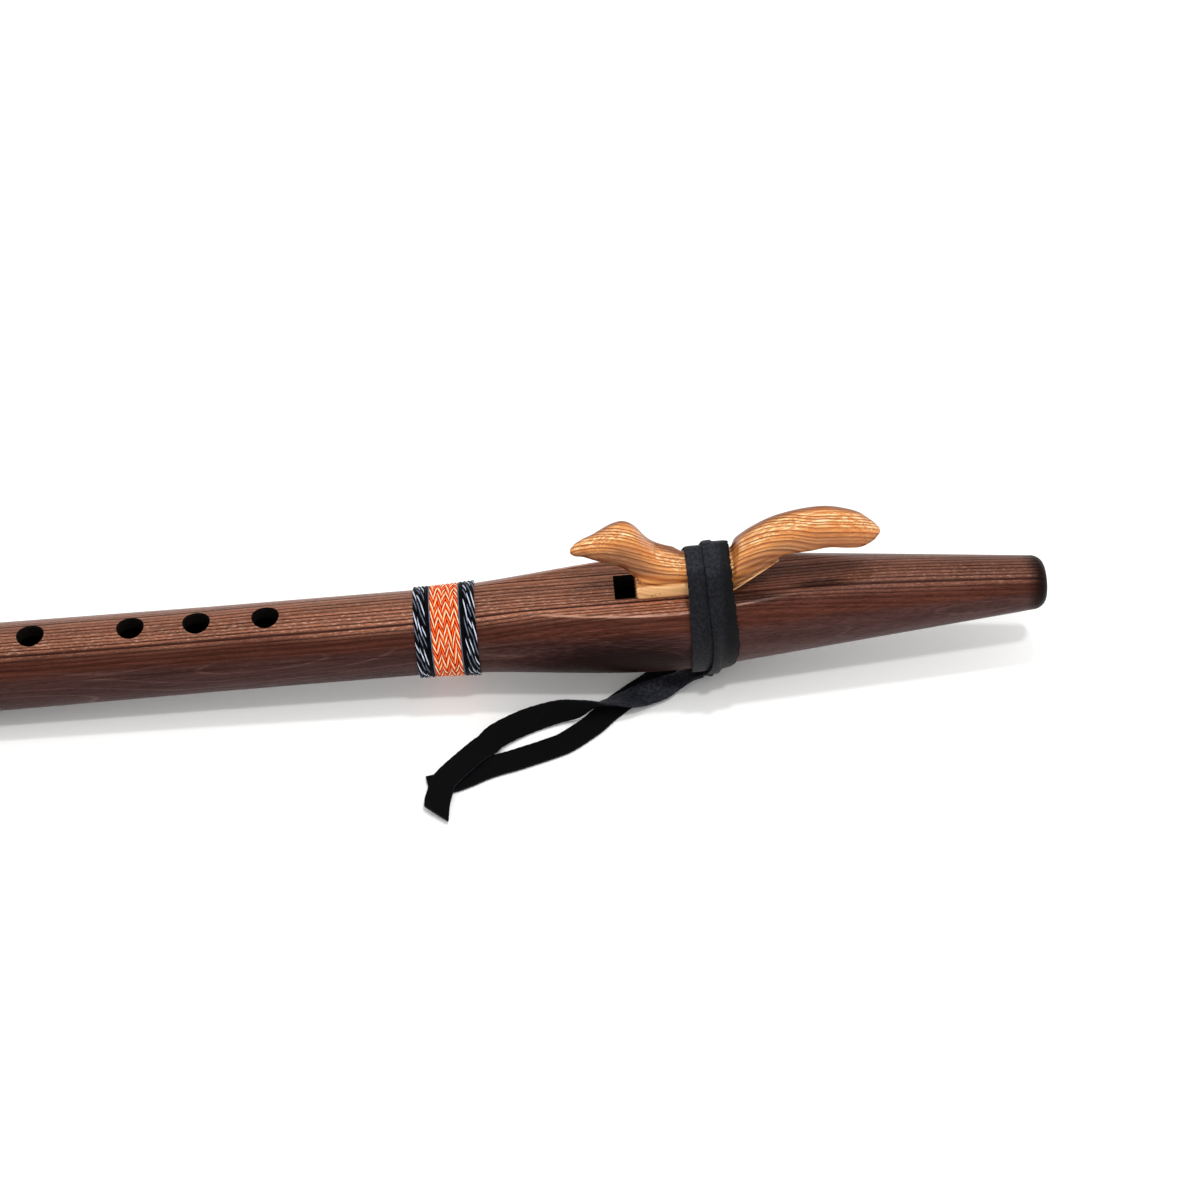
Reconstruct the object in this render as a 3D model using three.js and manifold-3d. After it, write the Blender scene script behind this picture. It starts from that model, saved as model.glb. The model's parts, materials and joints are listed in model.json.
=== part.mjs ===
// Six hole wooden flute in the Native American style, lying on a table.
// Millimetres, Z up. Each piece is built in the flute's own frame: X runs along the bore from the
// foot to the mouth end, and the axis of the bore is at Y = 0, Z = 0. The finished flute is then
// leant by a degree or two, because it rests on its foot and on the knot under its swell.
import * as THREE from 'three';
import { mergeVertices } from 'three/addons/utils/BufferGeometryUtils.js';
import Module from 'manifold-3d';

const wasm = await Module();
wasm.setup();

// Clearances
const SEAT_GAP = 0.3;          // between pieces that touch
const TURN_GAP = 0.45;         // between neighbouring turns of a winding
const OVERRUN = 2;             // how far a cutter runs past the wood

// Body, outside
const FLUTE_LENGTH = 523;
const FOOT_RADIUS = 17.3;
const BARREL_RADIUS = 16;
const SWELL_RADIUS = 22;
const MOUTH_RADIUS = 10.3;
const FOOT_ROUNDING = 2;
const MOUTH_ROUNDING = 5.2;
const FLARE_START = 210;       // the barrel widens from here back to the foot
const SWELL_START = 288;
const SWELL_PEAK = 381;
const TAPER_START = 411;       // a straight taper runs from here to the mouth end
const TAPER_START_RADIUS = 20.15;
const MOUTH_FACE_RADIUS = 5.6;
const BODY_SIDES = 36;
const ROUNDING_STEPS = 3;
const SWELL_STEPS = 9;
const SHOULDER_STEPS = 3;

// Body, inside
const BORE_RADIUS = 11;
const BORE_SIDES = 28;
const PLUG_SET = 0.6;           // from the window back to the plug between the two chambers
const PLUG_LENGTH = 17;
const AIR_CHAMBER_TAPER = 452;
const AIR_CHAMBER_END = 506;
const AIR_CHAMBER_END_RADIUS = 5.5;
const MOUTH_HOLE_RADIUS = 3.5;
const SEAM_GAP = 0.2;          // glue line between the two halves

// Finger holes, from the foot
const FINGER_HOLE_RADIUS = 5;
const FINGER_HOLES = [92, 118.5, 145, 181.9, 206.3, 231.8];
const HOLE_SIDES = 24;

// Nest, window and flue
const NEST_HEIGHT = BARREL_RADIUS;
const WINDOW_START = 361.2;
const WINDOW_LENGTH = 7.8;
const WINDOW_WIDTH = 11.8;
const FLUE_DEPTH = 1.2;
const FLUE_WIDTH = 10.6;
const FLUE_LENGTH = 20;
const EXIT_HOLE_LENGTH = 8;

// Block
const BLOCK_LENGTH = 113.6;
const BLOCK_HEAD_LENGTH = 23.4; // from the snout to the front of its foot
const BLOCK_WIDTH = 14.2;
const BLOCK_HEIGHT = 32.4;
const BLOCK_BASE_LENGTH = 36.4;
const BLOCK_STRIP_HEIGHT = 6.1; // flat front of its foot
const BLOCK_CHIN_SET = 2;       // how far the neck steps back above that
const BLOCK_RISE_LENGTH = 17.6;
const BLOCK_RISE_HEIGHT = 15.2;
const BLOCK_NECK_HEIGHT = 12;
const BLOCK_SECTION_SIDES = 16;
const BLOCK_SECTION_POWER = 2.6; // 2 is an ellipse, and more is squarer
const BLOCK_TRAVEL = 1;        // how far the block slides each way

// Leather strap
const STRAP_WIDTH = 9.5;
const STRAP_THICKNESS = 1.5;
const STRAP_START_SHARE = 0.370599; // of the block's length, from its snout
const STRAP_STEP = 6.5;        // how far the second turn stands along the flute from the first
const SADDLE_DEPTH = 11.9;     // height of the block left under the strap
const SADDLE_WALL = 1.35;      // room beside the strap
const SADDLE_SIDE_DEPTH = 1;    // how far the block's neck is narrowed under it
const SADDLE_CORNER_RADIUS = 2.6;
const SADDLE_CORNER_STEPS = 4;
const STRAP_STEPS = 50;

// Stretches of the strap, in degrees from straight down by way of the far side
const STRAP_RUN = [-14, 682];
const CLIMB_RUN = [255, 325];  // it climbs on to its first turn
const SHIFT_RUN = [340, 440];  // and moves along to lie as the second
const TUCK_RUN = [640, 672];   // it climbs once more, over both turns
const RETURN_RUN = [645, 690]; // and comes back to the knot

// Knot and loose strap ends
const KNOT_Y = -2.5;
const KNOT_LENGTH = 13;
const KNOT_WIDTH = 17;
const KNOT_HEIGHT = 6.6;
const KNOT_UNDER_STRAP = 3;    // leather between the strap and the table
const KNOT_FLAT = 1;           // how much of the knot is pressed flat
const KNOT_SIDES = 16;
const UPPER_END_STEPS = 36;
const LOWER_END_STEPS = 26;

// Thread bands
const BAND_START = 286.5;
const GREY_BAND_WIDTH = 6;
const BRIGHT_BAND_WIDTH = 10.4;
const GREY_LOOPS = 4;
const BRIGHT_LOOPS = 6;
const THREAD_THICKNESS = 0.95;
const LOOP_STEPS = 24;
const THREAD_SIDES = 6;

// Finishes
const WALNUT = 0x4a2c22;
const TAN_WOOD = 0xc98545;
const LEATHER = 0x17171a;
const GREY_THREAD = 0x3a3f4a;
const BRIGHT_THREAD = 0xf0562c;
const OILED_WOOD_ROUGHNESS = 0.45;
const BARE_WOOD_ROUGHNESS = 0.6;
const BLOCK_ROUGHNESS = 0.5;
const LEATHER_ROUGHNESS = 0.6;
const THREAD_ROUGHNESS = 0.7;

const STRAP_LAYER = STRAP_THICKNESS + TURN_GAP;
const WINDOW_END = WINDOW_START + WINDOW_LENGTH;
const EXIT_HOLE_START = WINDOW_END + FLUE_LENGTH;
const PLUG_START = WINDOW_END + PLUG_SET;
const PLUG_END = PLUG_START + PLUG_LENGTH;
const SEAT_HEIGHT = NEST_HEIGHT + SEAT_GAP;
const BLOCK_BASE_FRONT = WINDOW_END + SEAT_GAP;
const BLOCK_SNOUT = BLOCK_BASE_FRONT - BLOCK_HEAD_LENGTH;
const STRAP_START = BLOCK_SNOUT + STRAP_START_SHARE * BLOCK_LENGTH;
const SADDLE_HALF_WIDTH = BLOCK_WIDTH / 2 - SADDLE_SIDE_DEPTH;
const KNOT_X = STRAP_START + STRAP_STEP;
const LEAN_ROUNDS = 9;         // rounds in which the lean settles

const degrees = THREE.MathUtils.degToRad;
const lerp = THREE.MathUtils.lerp;
const smoothstep = THREE.MathUtils.smoothstep;

// A cubic from one radius to the next with the slope given at each end
function blend(x, x0, r0, slope0, x1, r1, slope1) {
  const span = x1 - x0;
  const u = (x - x0) / span;
  const a = 2 * u ** 3 - 3 * u ** 2 + 1;
  const b = u ** 3 - 2 * u ** 2 + u;
  const c = u ** 3 - u ** 2;
  return a * r0 + b * span * slope0 + (1 - a) * r1 + c * span * slope1;
}

const TAPER_END = FLUTE_LENGTH - MOUTH_ROUNDING;
const TAPER_SLOPE = (MOUTH_RADIUS - TAPER_START_RADIUS) / (TAPER_END - TAPER_START);

// Outer radius of the body at a distance from the foot
function bodyRadius(x) {
  if (x < FLARE_START) return lerp(FOOT_RADIUS, BARREL_RADIUS, x / FLARE_START);
  if (x < SWELL_START) return BARREL_RADIUS;
  if (x < SWELL_PEAK) return blend(x, SWELL_START, BARREL_RADIUS, 0, SWELL_PEAK, SWELL_RADIUS, 0);
  if (x > TAPER_START) return TAPER_START_RADIUS + TAPER_SLOPE * (x - TAPER_START);
  return blend(x, SWELL_PEAK, SWELL_RADIUS, 0, TAPER_START, TAPER_START_RADIUS, TAPER_SLOPE);
}

// Largest radius of the body between two distances from the foot
function widestRadius(x0, x1) {
  let widest = 0;
  for (let i = 0; i <= LOOP_STEPS; i++) widest = Math.max(widest, bodyRadius(lerp(x0, x1, i / LOOP_STEPS)));
  return widest;
}

// Solids and booleans
function toSolid(geometry) {
  const bare = geometry.clone();
  for (const name of Object.keys(bare.attributes)) {
    if (name !== 'position') bare.deleteAttribute(name);
  }
  const merged = mergeVertices(bare);
  const index = Array.from(merged.index.array);
  const triangles = [];
  for (let i = 0; i < index.length; i += 3) {
    const [a, b, c] = index.slice(i, i + 3);
    if (a !== b && b !== c && c !== a) triangles.push(a, b, c);
  }
  const mesh = new wasm.Mesh({
    numProp: 3,
    vertProperties: new Float32Array(merged.attributes.position.array),
    triVerts: new Uint32Array(triangles),
  });
  return new wasm.Manifold(mesh);
}

function toGeometry(solid) {
  const mesh = solid.getMesh();
  const geometry = new THREE.BufferGeometry();
  geometry.setAttribute('position', new THREE.BufferAttribute(new Float32Array(mesh.vertProperties), 3));
  geometry.setIndex(new THREE.BufferAttribute(new Uint32Array(mesh.triVerts), 1));
  geometry.computeVertexNormals();
  return geometry;
}

// A solid turned about the X axis from a list of [x, radius], foot first
function turned(outline, sides) {
  const points = outline.map(([x, radius]) => new THREE.Vector2(radius, x));
  const geometry = new THREE.LatheGeometry(points, sides, Math.PI / sides);
  geometry.rotateZ(-Math.PI / 2);
  return toSolid(geometry);
}

function boxSolid(x0, x1, y0, y1, z0, z1) {
  const geometry = new THREE.BoxGeometry(x1 - x0, y1 - y0, z1 - z0);
  geometry.translate((x0 + x1) / 2, (y0 + y1) / 2, (z0 + z1) / 2);
  return toSolid(geometry);
}

// A closed solid through rings of points, capped at both ends
function loft(rings) {
  const count = rings[0].length;
  const vertices = rings.flat();
  const index = [];
  for (let i = 0; i + 1 < rings.length; i++) {
    for (let j = 0; j < count; j++) {
      const a = i * count + j;
      const b = i * count + ((j + 1) % count);
      index.push(a, b, a + count, b, b + count, a + count);
    }
  }
  for (let j = 1; j + 1 < count; j++) {
    const last = (rings.length - 1) * count;
    index.push(0, j + 1, j);
    index.push(last, last + j, last + j + 1);
  }
  const geometry = new THREE.BufferGeometry();
  const numbers = vertices.flatMap((vertex) => vertex.toArray());
  geometry.setAttribute('position', new THREE.Float32BufferAttribute(numbers, 3));
  geometry.setIndex(index);
  geometry.computeVertexNormals();
  return geometry;
}

function piece(name, geometry, colour, roughness) {
  const material = new THREE.MeshStandardMaterial({ color: colour, roughness, metalness: 0 });
  const mesh = new THREE.Mesh(geometry, material);
  mesh.name = name;
  return mesh;
}

// Outline of the turned body, with its rounded foot and mouth end
function bodyOutline() {
  const outline = [[0, 0]];
  for (let i = 0; i <= ROUNDING_STEPS; i++) {
    const turn = (Math.PI / 2) * (i / ROUNDING_STEPS);
    const x = FOOT_ROUNDING * (1 - Math.cos(turn));
    outline.push([x, bodyRadius(x) - FOOT_ROUNDING * (1 - Math.sin(turn))]);
  }
  outline.push([FLARE_START, bodyRadius(FLARE_START)]);
  for (let i = 0; i < SWELL_STEPS; i++) {
    const x = lerp(SWELL_START, SWELL_PEAK, i / SWELL_STEPS);
    outline.push([x, bodyRadius(x)]);
  }
  for (let i = 0; i <= SHOULDER_STEPS; i++) {
    const x = lerp(SWELL_PEAK, TAPER_START, i / SHOULDER_STEPS);
    outline.push([x, bodyRadius(x)]);
  }
  for (let i = 0; i <= ROUNDING_STEPS; i++) {
    const turn = (Math.PI / 2) * (i / ROUNDING_STEPS);
    const x = TAPER_END + MOUTH_ROUNDING * Math.sin(turn);
    outline.push([x, lerp(MOUTH_FACE_RADIUS, MOUTH_RADIUS, Math.cos(turn))]);
  }
  outline.push([FLUTE_LENGTH, 0]);
  return outline;
}

// The sound bore, the slow air chamber and the mouth hole
function soundBore() {
  return turned([[-OVERRUN, 0], [-OVERRUN, BORE_RADIUS], [PLUG_END, BORE_RADIUS], [PLUG_END, 0]], BORE_SIDES);
}

function airChamber() {
  return turned([
    [PLUG_START, 0],
    [PLUG_START, BORE_RADIUS],
    [AIR_CHAMBER_TAPER, BORE_RADIUS],
    [AIR_CHAMBER_END, AIR_CHAMBER_END_RADIUS],
    [AIR_CHAMBER_END, MOUTH_HOLE_RADIUS],
    [FLUTE_LENGTH + OVERRUN, MOUTH_HOLE_RADIUS],
    [FLUTE_LENGTH + OVERRUN, 0],
  ], BORE_SIDES);
}

function fingerHole(x) {
  const geometry = new THREE.CylinderGeometry(
    FINGER_HOLE_RADIUS, FINGER_HOLE_RADIUS, FOOT_RADIUS + OVERRUN, HOLE_SIDES);
  geometry.rotateX(Math.PI / 2);
  geometry.translate(x, 0, (FOOT_RADIUS + OVERRUN) / 2);
  return toSolid(geometry);
}

// The flat nest, the sound window, the exit hole and the flue between them
function nestCuts() {
  const top = SWELL_RADIUS + OVERRUN;
  const exitEnd = EXIT_HOLE_START + EXIT_HOLE_LENGTH;
  const half = WINDOW_WIDTH / 2;
  return [
    boxSolid(SWELL_START, FLUTE_LENGTH, -top, top, NEST_HEIGHT, top),
    boxSolid(WINDOW_START, WINDOW_END, -half, half, 0, top),
    boxSolid(EXIT_HOLE_START, exitEnd, -FLUE_WIDTH / 2, FLUE_WIDTH / 2, 0, top),
    boxSolid(WINDOW_END - OVERRUN, exitEnd, -FLUE_WIDTH / 2, FLUE_WIDTH / 2, NEST_HEIGHT - FLUE_DEPTH, top),
  ];
}

// The body is routed in two halves and glued along its length
function bodyHalves() {
  let body = turned(bodyOutline(), BODY_SIDES).subtract(soundBore()).subtract(airChamber());
  const reach = SWELL_RADIUS + OVERRUN;
  const ends = [-OVERRUN, FLUTE_LENGTH + OVERRUN];
  const lower = body.intersect(boxSolid(...ends, -reach, reach, -reach, -SEAM_GAP / 2));
  let upper = body.intersect(boxSolid(...ends, -reach, reach, SEAM_GAP / 2, reach));
  for (const x of FINGER_HOLES) upper = upper.subtract(fingerHole(x));
  for (const cut of nestCuts()) upper = upper.subtract(cut);
  return [
    piece('body_upper_half', toGeometry(upper), WALNUT, OILED_WOOD_ROUGHNESS),
    piece('body_lower_half', toGeometry(lower), WALNUT, OILED_WOOD_ROUGHNESS),
  ];
}

// The plug between the sound bore and the slow air chamber
function boreDivider() {
  const radius = BORE_RADIUS * Math.cos(Math.PI / BORE_SIDES) - SEAT_GAP;
  const outline = [[PLUG_START, 0], [PLUG_START, radius], [PLUG_END, radius], [PLUG_END, 0]];
  return piece('bore_divider', toGeometry(turned(outline, BORE_SIDES)), WALNUT, BARE_WOOD_ROUGHNESS);
}

// Stations of the carved block from snout to tail tip, as shares of its length, of its height
// above the nest for the top and the underside, and of its half width
const blockStationShares = [
  [0, 0.68, 0.63, 0.12],
  [0.011, 0.72, 0.61, 0.27],
  [0.04, 0.785, 0.605, 0.43],
  [0.074, 0.83, 0.56, 0.61],
  [0.1, 0.88, 0.53, 0.75],
  [0.133, 0.954, 0.485, 0.86],
  [0.173, 0.995, 0.385, 0.93],
  [0.197, 0.96, 0.27, 0.95],
  [0.219, 0.872, 0.17, 0.96],
  [0.239, 0.748, 0.13, 0.96],
  [0.26, 0.642, 0.12, 0.97],
  [0.298, 0.535, 0.12, 0.97],
  [0.342, 0.465, 0.12, 0.97],
  [0.403, 0.43, 0.12, 0.97],
  [0.464, 0.44, 0.12, 0.97],
  [0.513, 0.473, 0.12, 0.97],
  [0.531, 0.523, 0.14, 0.97],
  [0.557, 0.617, 0.19, 0.97],
  [0.587, 0.705, 0.27, 0.97],
  [0.652, 0.847, 0.4, 0.95],
  [0.727, 0.932, 0.442, 0.95],
  [0.775, 0.958, 0.458, 0.95],
  [0.829, 0.956, 0.49, 0.94],
  [0.899, 0.885, 0.45, 0.89],
  [0.936, 0.825, 0.44, 0.79],
  [0.962, 0.745, 0.475, 0.63],
  [0.984, 0.675, 0.525, 0.43],
  [1, 0.625, 0.57, 0.18],
];

function blockSection([along, top, under, wide]) {
  const middle = ((top + under) / 2) * BLOCK_HEIGHT + SEAT_HEIGHT;
  const tall = ((top - under) / 2) * BLOCK_HEIGHT;
  const ring = [];
  for (let i = 0; i < BLOCK_SECTION_SIDES; i++) {
    const turn = (2 * Math.PI * (i + 0.5)) / BLOCK_SECTION_SIDES;
    const grow = (value) => Math.sign(value) * Math.abs(value) ** (2 / BLOCK_SECTION_POWER);
    const y = grow(Math.cos(turn)) * wide * (BLOCK_WIDTH / 2);
    const z = middle + grow(Math.sin(turn)) * tall;
    ring.push(new THREE.Vector3(BLOCK_SNOUT + along * BLOCK_LENGTH, y, z));
  }
  return ring;
}

// The flat sided foot of the block, with its slanted rear face
function blockBase() {
  const rear = BLOCK_BASE_FRONT + BLOCK_BASE_LENGTH;
  const outline = new THREE.Shape([
    new THREE.Vector2(BLOCK_BASE_FRONT, SEAT_HEIGHT),
    new THREE.Vector2(rear, SEAT_HEIGHT),
    new THREE.Vector2(rear + BLOCK_RISE_LENGTH, SEAT_HEIGHT + BLOCK_RISE_HEIGHT),
    new THREE.Vector2(rear, SEAT_HEIGHT + BLOCK_NECK_HEIGHT),
    new THREE.Vector2(BLOCK_BASE_FRONT + BLOCK_CHIN_SET, SEAT_HEIGHT + BLOCK_NECK_HEIGHT),
    new THREE.Vector2(BLOCK_BASE_FRONT, SEAT_HEIGHT + BLOCK_STRIP_HEIGHT),
  ]);
  const geometry = new THREE.ExtrudeGeometry(outline, { depth: BLOCK_WIDTH, bevelEnabled: false });
  geometry.rotateX(Math.PI / 2);
  geometry.translate(0, BLOCK_WIDTH / 2, 0);
  return toSolid(geometry);
}

// A round shouldered slice across the flute, from its foot to its top
function roundedSlice(x0, x1, halfWidth, z0, z1, radius) {
  const outline = new THREE.Shape();
  outline.moveTo(halfWidth, z0);
  outline.lineTo(halfWidth, z1 - radius);
  outline.absarc(halfWidth - radius, z1 - radius, radius, 0, Math.PI / 2);
  outline.lineTo(radius - halfWidth, z1);
  outline.absarc(radius - halfWidth, z1 - radius, radius, Math.PI / 2, Math.PI);
  outline.lineTo(-halfWidth, z0);
  const geometry = new THREE.ExtrudeGeometry(
    outline, { depth: x1 - x0, bevelEnabled: false, curveSegments: SADDLE_CORNER_STEPS });
  const across = new THREE.Vector3(0, 1, 0);
  const up = new THREE.Vector3(0, 0, 1);
  geometry.applyMatrix4(new THREE.Matrix4().makeBasis(across, up, new THREE.Vector3(1, 0, 0)));
  geometry.translate(x0, 0, 0);
  return toSolid(geometry);
}

// The notch that the strap lies in, with room for the block to slide under it
function strapSaddle() {
  const x0 = STRAP_START - BLOCK_TRAVEL - SADDLE_WALL;
  const x1 = STRAP_START + STRAP_STEP + STRAP_WIDTH + BLOCK_TRAVEL + SADDLE_WALL;
  const z0 = SEAT_HEIGHT + BLOCK_STRIP_HEIGHT;
  const top = SEAT_HEIGHT + SADDLE_DEPTH;
  const notch = boxSolid(x0, x1, -BLOCK_WIDTH, BLOCK_WIDTH, z0, top + BLOCK_HEIGHT);
  const kept = roundedSlice(
    x0 - OVERRUN, x1 + OVERRUN, SADDLE_HALF_WIDTH, z0 - OVERRUN, top, SADDLE_CORNER_RADIUS);
  return notch.subtract(kept);
}

function totemBlock() {
  const carved = toSolid(loft(blockStationShares.map(blockSection)));
  const block = carved.add(blockBase()).subtract(strapSaddle());
  return piece('totem_block', toGeometry(block), TAN_WOOD, BLOCK_ROUGHNESS);
}

// Shares of the angle above the body that the flat crown and the bent corner of the strap take
const CROWN_SHARE = 0.25;
const SPAN_SHARE = 0.7;

// Path of the strap round the body and over the block, seen along the flute. The angle runs from
// straight down by way of the far side, and the offset is how far the leather's middle stands off.
const TURN_RADIUS = widestRadius(STRAP_START, STRAP_START + STRAP_WIDTH);

function strapPoint(angle, offset) {
  const corner = new THREE.Vector2(
    SADDLE_HALF_WIDTH - SADDLE_CORNER_RADIUS,
    SEAT_HEIGHT + SADDLE_DEPTH - SADDLE_CORNER_RADIUS);
  const lean = Math.atan2(corner.x, corner.y);
  const wrap = lean + Math.acos((TURN_RADIUS - SADDLE_CORNER_RADIUS) / corner.length());
  const side = Math.sin(angle) < 0 ? -1 : 1;
  const fromTop = Math.acos(THREE.MathUtils.clamp(-Math.cos(angle), -1, 1));
  const outward = new THREE.Vector2();
  if (fromTop >= wrap) {
    outward.set(Math.sin(fromTop), Math.cos(fromTop));
    const reach = TURN_RADIUS + offset;
    return { y: side * outward.x * reach, z: outward.y * reach, ny: side * outward.x, nz: outward.y };
  }
  const tangent = new THREE.Vector2(Math.sin(wrap), Math.cos(wrap));
  const spanEnd = tangent.clone().multiplyScalar(TURN_RADIUS);
  const spanTop = corner.clone().addScaledVector(tangent, SADDLE_CORNER_RADIUS);
  const share = fromTop / wrap;
  const base = new THREE.Vector2();
  if (share > SPAN_SHARE) {
    base.lerpVectors(spanTop, spanEnd, (share - SPAN_SHARE) / (1 - SPAN_SHARE));
    outward.copy(tangent);
  } else if (share > CROWN_SHARE) {
    const bend = (wrap * (share - CROWN_SHARE)) / (SPAN_SHARE - CROWN_SHARE);
    outward.set(Math.sin(bend), Math.cos(bend));
    base.copy(corner).addScaledVector(outward, SADDLE_CORNER_RADIUS);
  } else {
    outward.set(0, 1);
    base.set(corner.x * (share / CROWN_SHARE), corner.y + SADDLE_CORNER_RADIUS);
  }
  base.addScaledVector(outward, offset);
  return { y: side * base.x, z: base.y, ny: side * outward.x, nz: outward.y };
}

// How much of a stretch of the strap lies behind an angle, from 0 to 1
function shareOf(angle, [start, end]) {
  return smoothstep(angle, degrees(start), degrees(end));
}

// How far the strap's middle stands off at an angle: its second turn lies over its first
function strapOffset(angle) {
  const first = SEAT_GAP + STRAP_THICKNESS / 2;
  return first + STRAP_LAYER * (shareOf(angle, CLIMB_RUN) + shareOf(angle, TUCK_RUN));
}

function strapMiddle(angle) {
  const first = STRAP_START + STRAP_WIDTH / 2;
  return first + STRAP_STEP * shareOf(angle, SHIFT_RUN) - (STRAP_STEP / 2) * shareOf(angle, RETURN_RUN);
}

// Points across a flat strap, as shares of its half width and half thickness
const strapSectionShares = [[1, 0], [0.92, 1], [-0.92, 1], [-1, 0], [-0.92, -1], [0.92, -1]];

function strapRing(angle) {
  const at = strapPoint(angle, strapOffset(angle));
  const x = strapMiddle(angle);
  return strapSectionShares.map(([wide, thick]) => new THREE.Vector3(
    x + (wide * STRAP_WIDTH) / 2,
    at.y + (thick * STRAP_THICKNESS * at.ny) / 2,
    at.z + (thick * STRAP_THICKNESS * at.nz) / 2));
}

// Least gap between parts of one winding that are a turn or more apart, from points on its skin
function leastGap(rings, ringsPerTurn) {
  let least = Infinity;
  const point = new THREE.Vector3();
  for (let i = 0; i < rings.length; i++) {
    for (let j = i + Math.floor(ringsPerTurn / 2); j + 1 < rings.length; j++) {
      for (const a of rings[i]) {
        rings[j].forEach((b, k) => {
          const others = [b, rings[j][(k + 1) % rings[j].length], rings[j + 1][k]];
          for (const other of others) {
            point.lerpVectors(b, other, 0.5);
            least = Math.min(least, a.distanceTo(b), a.distanceTo(point));
          }
        });
      }
    }
  }
  return least;
}

function strapWrap() {
  const rings = [];
  for (let i = 0; i <= STRAP_STEPS; i++) {
    rings.push(strapRing(degrees(lerp(...STRAP_RUN, i / STRAP_STEPS))));
  }
  console.log('strap_wrap least gap', leastGap(rings, STRAP_STEPS / 2).toFixed(2));
  return piece('strap_wrap', loft(rings), LEATHER, LEATHER_ROUGHNESS);
}

// A band of thread wound tight on the barrel
function threadBand(name, start, width, loops, colour) {
  const pitch = (width + TURN_GAP) / (loops + 1);
  const threadWidth = pitch - TURN_GAP;
  const rings = [];
  for (let i = 0; i <= loops * LOOP_STEPS; i++) {
    const angle = (2 * Math.PI * i) / LOOP_STEPS;
    const x = start + threadWidth / 2 + (pitch * i) / LOOP_STEPS;
    const radius = widestRadius(x - threadWidth / 2, x + threadWidth / 2) + SEAT_GAP + THREAD_THICKNESS / 2;
    const ring = [];
    for (let k = 0; k < THREAD_SIDES; k++) {
      const turn = (2 * Math.PI * k) / THREAD_SIDES;
      const reach = radius + (Math.sin(turn) * THREAD_THICKNESS) / 2;
      const along = x + (Math.cos(turn) * threadWidth) / 2;
      ring.push(new THREE.Vector3(along, Math.sin(angle) * reach, -Math.cos(angle) * reach));
    }
    rings.push(ring);
  }
  console.log(name, 'least gap', leastGap(rings, LOOP_STEPS).toFixed(2));
  return piece(name, loft(rings), colour, THREAD_ROUGHNESS);
}

function threadBands() {
  const middle = BAND_START + GREY_BAND_WIDTH + SEAT_GAP;
  const right = middle + BRIGHT_BAND_WIDTH + SEAT_GAP;
  return [
    threadBand('thread_band_left', BAND_START, GREY_BAND_WIDTH, GREY_LOOPS, GREY_THREAD),
    threadBand('thread_band_middle', middle, BRIGHT_BAND_WIDTH, BRIGHT_LOOPS, BRIGHT_THREAD),
    threadBand('thread_band_right', right, GREY_BAND_WIDTH, GREY_LOOPS, GREY_THREAD),
  ];
}

// The lean at which the foot and the knot both touch the table
const UNDER_STRAP_RADIUS = TURN_RADIUS + SEAT_GAP + STRAP_LAYER + STRAP_THICKNESS;
const KNOT_AXIS_HEIGHT = UNDER_STRAP_RADIUS + SEAT_GAP + KNOT_UNDER_STRAP;

function restingLean() {
  const facet = Math.cos(Math.PI / BODY_SIDES);
  let lean = 0;
  for (let i = 0; i < LEAN_ROUNDS; i++) {
    const drops = bodyOutline().map(([x, radius]) => radius * facet * Math.cos(lean) - x * Math.sin(lean));
    lean = Math.asin((KNOT_AXIS_HEIGHT - Math.max(...drops)) / KNOT_X);
  }
  return lean;
}

const LEAN = restingLean();
const FOOT_AXIS_HEIGHT = KNOT_AXIS_HEIGHT - KNOT_X * Math.sin(LEAN);

// The rounded lump of the knot, grown by a gap
function knotLump(grown) {
  const ball = new THREE.SphereGeometry(1, KNOT_SIDES, KNOT_SIDES / 2);
  ball.rotateX(Math.PI / 2);
  ball.scale(KNOT_LENGTH / 2 + grown, KNOT_WIDTH / 2 + grown, KNOT_HEIGHT / 2 + grown);
  ball.translate(KNOT_X, KNOT_Y, KNOT_HEIGHT / 2 - KNOT_FLAT);
  return toSolid(ball);
}

// The knot lies level on the table, pressed between it and the strap
function strapKnot() {
  const reach = KNOT_WIDTH;
  const aboveTable = boxSolid(KNOT_X - reach, KNOT_X + reach, KNOT_Y - reach, KNOT_Y + reach, 0, reach);
  const clear = new THREE.CylinderGeometry(
    UNDER_STRAP_RADIUS + SEAT_GAP, UNDER_STRAP_RADIUS + SEAT_GAP, 2 * reach, 2 * BODY_SIDES);
  clear.rotateZ(Math.PI / 2);
  clear.rotateY(-LEAN);
  clear.translate(KNOT_X, 0, KNOT_AXIS_HEIGHT);
  const knot = knotLump(0).intersect(aboveTable).subtract(toSolid(clear));
  return piece('strap_knot', toGeometry(knot), LEATHER, LEATHER_ROUGHNESS);
}

// Routes of the two loose ends on the table, from the knot. Each point is its place along and
// across the flute and its height, then how far the leather is rolled about its length in degrees.
const UPPER_END_ROUTE = [
  [-1.5, -7.5, 3.2, 36], [-6.5, -9.3, 3.4, 30], [-12.5, -12.2, 3.4, -5], [-17, -14.6, 4.1, -26],
  [-23.5, -16.6, 4.4, -17], [-30, -19.2, 4.9, 8], [-36, -20.8, 6, 32], [-41, -21.9, 6.5, 49],
  [-48.5, -23.7, 6.9, 88], [-57.5, -23.7, 5.6, 113], [-68.5, -26, 4.2, 132], [-79.5, -30.8, 3.3, 158],
  [-84, -35.2, 3.5, 172], [-87.2, -37.5, 3.5, 180], [-94, -43.9, 3.5, 180], [-100.5, -51, 3.5, 180],
  [-102.2, -56, 3.5, 180], [-103.3, -60.2, 3.2, 180], [-104, -65.3, 2.6, 180],
];
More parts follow.
